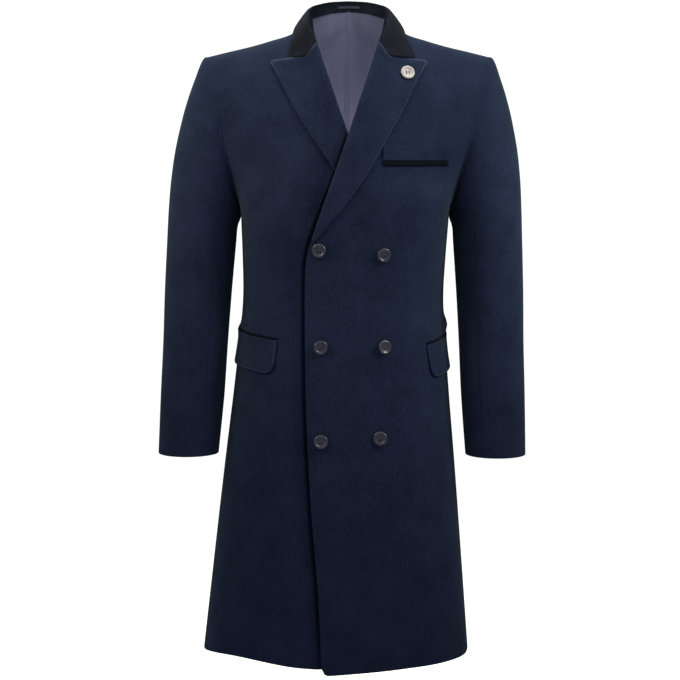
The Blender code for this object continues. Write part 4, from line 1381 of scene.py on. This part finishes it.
def add_buttons():
    """Puts the buttons on and returns their places."""
    shape = button_shape()
    frames = []
    for name, x, z, out, lean, finish, slot in button_places():
        aside, ahead = (math.radians(part) for part in lean)
        leaning = Matrix.Rotation(aside, 4, "Y") @ Matrix.Rotation(ahead, 4, "X")
        out += BUTTON_BACK_RADIUS * math.hypot(math.sin(aside), math.sin(ahead))
        angle, level = under_front(np.array(x), np.array(z), np.array(out))
        facing = Vector(body_normal(angle, level, FRONT))
        place = Vector(on_body(angle, level, FRONT, np.array(out)))
        mesh = shape.copy()
        mesh.name = name
        mesh.materials.clear()
        mesh.materials.append(finish)
        upright = Matrix.Translation(place) @ facing.to_track_quat("Z", "Y").to_matrix().to_4x4()
        frames.append(upright @ leaning)
        mesh.transform(frames[-1])
        add_piece(name, mesh, (name,))
        mesh.set_sharp_from_angle(angle=SHARP_EDGE)
    return frames


class Sewing(Nodes):
    """A tree that sews thread on paths. The last socket of its input is the thread's finish."""

    def __init__(self, name, numbers):
        super().__init__(bpy.data.node_groups.new(name, "GeometryNodeTree"))
        self.identifiers = {}
        kinds = {"Paths": "NodeSocketGeometry", **numbers, "Finish": "NodeSocketMaterial"}
        for socket, kind in kinds.items():
            made_socket = self.tree.interface.new_socket(socket, in_out="INPUT", socket_type=kind)
            self.identifiers[socket] = made_socket.identifier
        self.tree.interface.new_socket("Thread", in_out="OUTPUT", socket_type="NodeSocketGeometry")

    def given(self, socket):
        return self.node("NodeGroupInput", {}, {}, socket)

    def strand(self, curve):
        """A round strand along a curve."""
        round_sockets = {"Resolution": 6, "Radius": self.given("Radius")}
        profile = self.node("GeometryNodeCurvePrimitiveCircle", {}, round_sockets)
        sockets = {"Curve": curve, "Profile Curve": profile, "Fill Caps": True}
        return self.node("GeometryNodeCurveToMesh", {}, sockets)

    def end(self, thread):
        whole = self.node("GeometryNodeRealizeInstances", {}, {"Geometry": thread})
        dyed = self.node("GeometryNodeSetMaterial", {}, {"Geometry": whole, "Material": self.given("Finish")})
        self.node("NodeGroupOutput", {}, {0: dyed})

    def sew(self, name, paths, values, slot):
        """The thread on these paths as a plain piece."""
        verts, edges = [], []
        for path in paths:
            first = len(verts)
            verts += [tuple(point) for point in path]
            edges += [(at, at + 1) for at in range(first, len(verts) - 1)]
        lines = bpy.data.meshes.new(name + " paths")
        lines.from_pydata(verts, edges, [])
        drawn = put(name + " paths", lines)
        sewing = drawn.modifiers.new("sewing", "NODES")
        sewing.node_group = self.tree
        for socket, value in values.items():
            sewing[self.identifiers[socket]] = value
        add_piece(name, settled(drawn), ())


def thread_on_paths():
    """Thread that runs along each path."""
    sewing = Sewing("thread on paths", {"Radius": "NodeSocketFloat"})
    curve = sewing.node("GeometryNodeMeshToCurve", {}, {"Mesh": sewing.given("Paths")})
    sewing.end(sewing.strand(curve))
    return sewing


def row_of_stitches():
    """Short slanted stitches, uneven in length, spaced along each path."""
    numbers = ("Radius", "Spacing", "Length", "Slant", "Unevenness")
    kinds = {name: "NodeSocketFloat" for name in numbers}
    sewing = Sewing("row of stitches", {**kinds, "Seed": "NodeSocketInt"})
    curve = sewing.node("GeometryNodeMeshToCurve", {}, {"Mesh": sewing.given("Paths")})
    sockets = {"Curve": curve, "Length": sewing.given("Spacing")}
    spaced = sewing.node("GeometryNodeResampleCurve", {"mode": "LENGTH"}, sockets)
    half = sewing.given("Length") * 0.5
    start = sewing.node("ShaderNodeCombineXYZ", {}, {"X": half * -1.0})
    end = sewing.node("ShaderNodeCombineXYZ", {}, {"X": half, "Z": sewing.given("Slant")})
    stitch = sewing.strand(sewing.node("GeometryNodeCurvePrimitiveLine", {}, {"Start": start, "End": end}))
    along = sewing.node("GeometryNodeInputTangent", {}, {})
    turned = sewing.node("FunctionNodeAlignRotationToVector", {"axis": "X"}, {"Vector": along})
    uneven = sewing.given("Unevenness")
    sockets = {2: 1.0 - uneven, 3: 1.0 + uneven, "Seed": sewing.given("Seed")}
    size = sewing.node("FunctionNodeRandomValue", {"data_type": "FLOAT"}, sockets, 1)
    sockets = {"Points": spaced, "Instance": stitch, "Rotation": turned, "Scale": size}
    sewing.end(sewing.node("GeometryNodeInstanceOnPoints", {}, sockets))
    return sewing


THREAD_RADIUS = 0.0004
TACK_RADIUS = THREAD_RADIUS * 0.6
SHANK = 0.0028
STRANDS = (-0.00055, 0.0, 0.00055)
# One bar of thread between two holes of a button: part of the way, height over the face
THREAD_BAR = ((-1.0, -0.0012), (-0.85, 0.0001), (-0.4, 0.0005), (0.4, 0.0005), (0.85, 0.0001), (1.0, -0.0012))


def button_threads():
    """Bars of thread through the holes of every button."""
    face = BUTTON_PROFILE[0][1]
    paths = []
    for place in BUTTON_FRAMES:
        for across in (-1, 1):
            for strand in STRANDS:
                x = across * HOLE_SPACING + strand
                paths.append([place @ Vector((x, part * HOLE_SPACING, face + up)) for part, up in THREAD_BAR])
            for up in (-1, 1):
                hole = Vector((across * HOLE_SPACING, up * HOLE_SPACING, face / 2))
                paths.append([place @ hole, place @ Vector((hole.x / 3, hole.y / 3, -SHANK))])
    return paths


PATH_POINTS = 121


def lining_edges():
    """Paths inside the hem and the cuffs, where the lining's edge is felled to the wool."""
    level = np.full(PATH_POINTS, LINING_EDGE_LEVEL)
    along = np.full(PATH_POINTS, CUFF_FACING_ALONG)
    turn = np.linspace(0, 2 * math.pi, PATH_POINTS)
    front_part, back_part = (np.linspace(start, 1, PATH_POINTS) for start in (0.5, 0.01))
    inside = -WALL - THREAD_RADIUS / 2
    paths = []
    for side in (-1, 1):
        end = side_angle(level)
        angle = front_part * end * side
        front_path = on_body(angle, level, FRONT, inside)
        front_path[..., 2] += hem_lift(angle, level)
        paths.append(front_path)
        paths.append(on_body((math.pi - end) * back_part * side, level, BACK, inside))
        ring = sleeve(turn, along, side)
        paths.append(ring - unit(sleeve_centre(turn, along, side) - ring) * inside)
    return paths


def loop_tacks():
    """Close zigzags of thread across both ends of the hanger loop."""
    paths = []
    for near, far in ((1, 3), (-2, -4)):
        is_near = np.arange(len(LOOP_GRID)) % 2 == 0
        paths.append(np.where(is_near[:, None], LOOP_GRID[:, near], LOOP_GRID[:, far]))
    return paths


add_front("front_left", 1)
add_front("front_right", -1)
add_back("back_left", 1)
add_back("back_right", -1)
for wearer_side, word in ((1, "left"), (-1, "right")):
    top, under = (-SLEEVE_SEAM, SLEEVE_SEAM), (SLEEVE_SEAM, 2 * math.pi - SLEEVE_SEAM)
    add_sleeve(f"sleeve_top_{word}", wearer_side, *top, TOP_SLEEVE_COLUMNS)
    add_sleeve(f"sleeve_under_{word}", wearer_side, *under, UNDER_SLEEVE_COLUMNS)
    add_lapel(f"lapel_{word}", wearer_side)
    add_hip_pocket(word, wearer_side)
add_collar()
add_lining()
LOOP_GRID = add_hanger_loop()
WELT_LOW_Z = WELT_TOP_Z - WELT_HEIGHT
TRIM_TOP_Z = WELT_LOW_Z - LAY_GAP
add_welt_strip("breast_welt", WELT_LOW_Z, WELT_TOP_Z, TRIM_WALL, WOOL)
TRIM_LOW_Z = TRIM_TOP_Z - WELT_TRIM_HEIGHT
# The welt's trim takes the darker velvet copy as painted shade
add_welt_strip("breast_welt_trim", TRIM_LOW_Z, TRIM_TOP_Z, WELT_TRIM_WALL, SHADED_VELVET)
BUTTON_FRAMES = add_buttons()
on_paths = thread_on_paths()
on_paths.sew("button_threads", button_threads(), {"Radius": THREAD_RADIUS, "Finish": THREAD}, "button")
on_paths.sew("hanger_loop_tacks", loop_tacks(), {"Radius": TACK_RADIUS, "Finish": THREAD}, "tape")
FELLING = {"Radius": 0.0003, "Spacing": 0.007, "Length": 0.0034, "Slant": 0.002, "Unevenness": 0.2, "Seed": 5}
row_of_stitches().sew("lining_stitches", lining_edges(), {**FELLING, "Finish": THREAD}, "lining")

# Studio: camera where the photographer stood, pale floor, soft light from above
FLOOR_Z = -1.22
FLOOR_HALF = 9
CAMERA_PLACE = (-0.0144, -3.0, -0.190)
CAMERA_DOWN = 6.006
camera = put("camera", bpy.data.cameras.new("camera"))
camera.location = CAMERA_PLACE
camera.rotation_euler = (math.radians(90 - CAMERA_DOWN), 0, 0)
camera.data.sensor_width = 36
camera.data.lens = 95.6
bpy.context.scene.camera = camera


def add_floor():
    mesh = bpy.data.meshes.new("floor")
    corners = [(x * FLOOR_HALF, y * FLOOR_HALF, FLOOR_Z) for x, y in ((-1, -1), (1, -1), (1, 1), (-1, 1))]
    mesh.from_pydata(corners, [], [(0, 1, 2, 3)])
    mesh.materials.append(PAPER)
    put("floor", mesh)


# Lamps: name, place, what it points at, size, power, spread in degrees, colour
WARM = (0.92, 1, 0.70)
LAMPS = (
    ("key from above", (0.40, -0.50, 0.55), (0, 0, -0.05), 0.4, 1.5, 60, WARM),
    ("light from the left", (-0.45, -0.60, 0.50), (-0.10, 0, -0.10), 0.5, 1.1, 60, WARM),
    ("right side", (1.00, -0.45, 0.25), (0.22, 0, -0.35), 0.5, 4.2, 50, WARM),
    ("left side", (-1.00, -0.45, 0.25), (-0.22, 0, -0.30), 0.5, 2.7, 50, (1, 1, 0.58)),
    ("top", (0, 0.05, 0.80), (0, 0, 0), 0.8, 3.5, 50, WARM),
    ("light from behind", (-0.30, 0.60, 0.60), (0, 0, -0.05), 0.5, 3.0, 60, (1, 1, 1)),
    ("light inside the coat", (0, -0.03, -0.21), (0, 0.11, -0.06), 0.08, 0.125, 120, (1, 1, 1)),
)


def add_lamp(name, place, target, size, power, spread, colour):
    lamp = bpy.data.lights.new(name, "AREA")
    lamp.shape = "DISK"
    lamp.size = size
    lamp.energy = power
    lamp.color = colour
    lamp.spread = math.radians(spread)
    light = put(name, lamp)
    light.location = place
    light.rotation_euler = (Vector(target) - Vector(place)).to_track_quat("-Z", "Y").to_euler()
    light.visible_camera = False


add_floor()
for described in LAMPS:
    add_lamp(*described)
world = bpy.data.worlds.new("studio")
world.use_nodes = True
world.node_tree.nodes["Background"].inputs["Color"].default_value = (1, 1, 1, 1)
world.node_tree.nodes["Background"].inputs["Strength"].default_value = 1.10
bpy.context.scene.world = world
bpy.context.scene.view_settings.view_transform = "Standard"
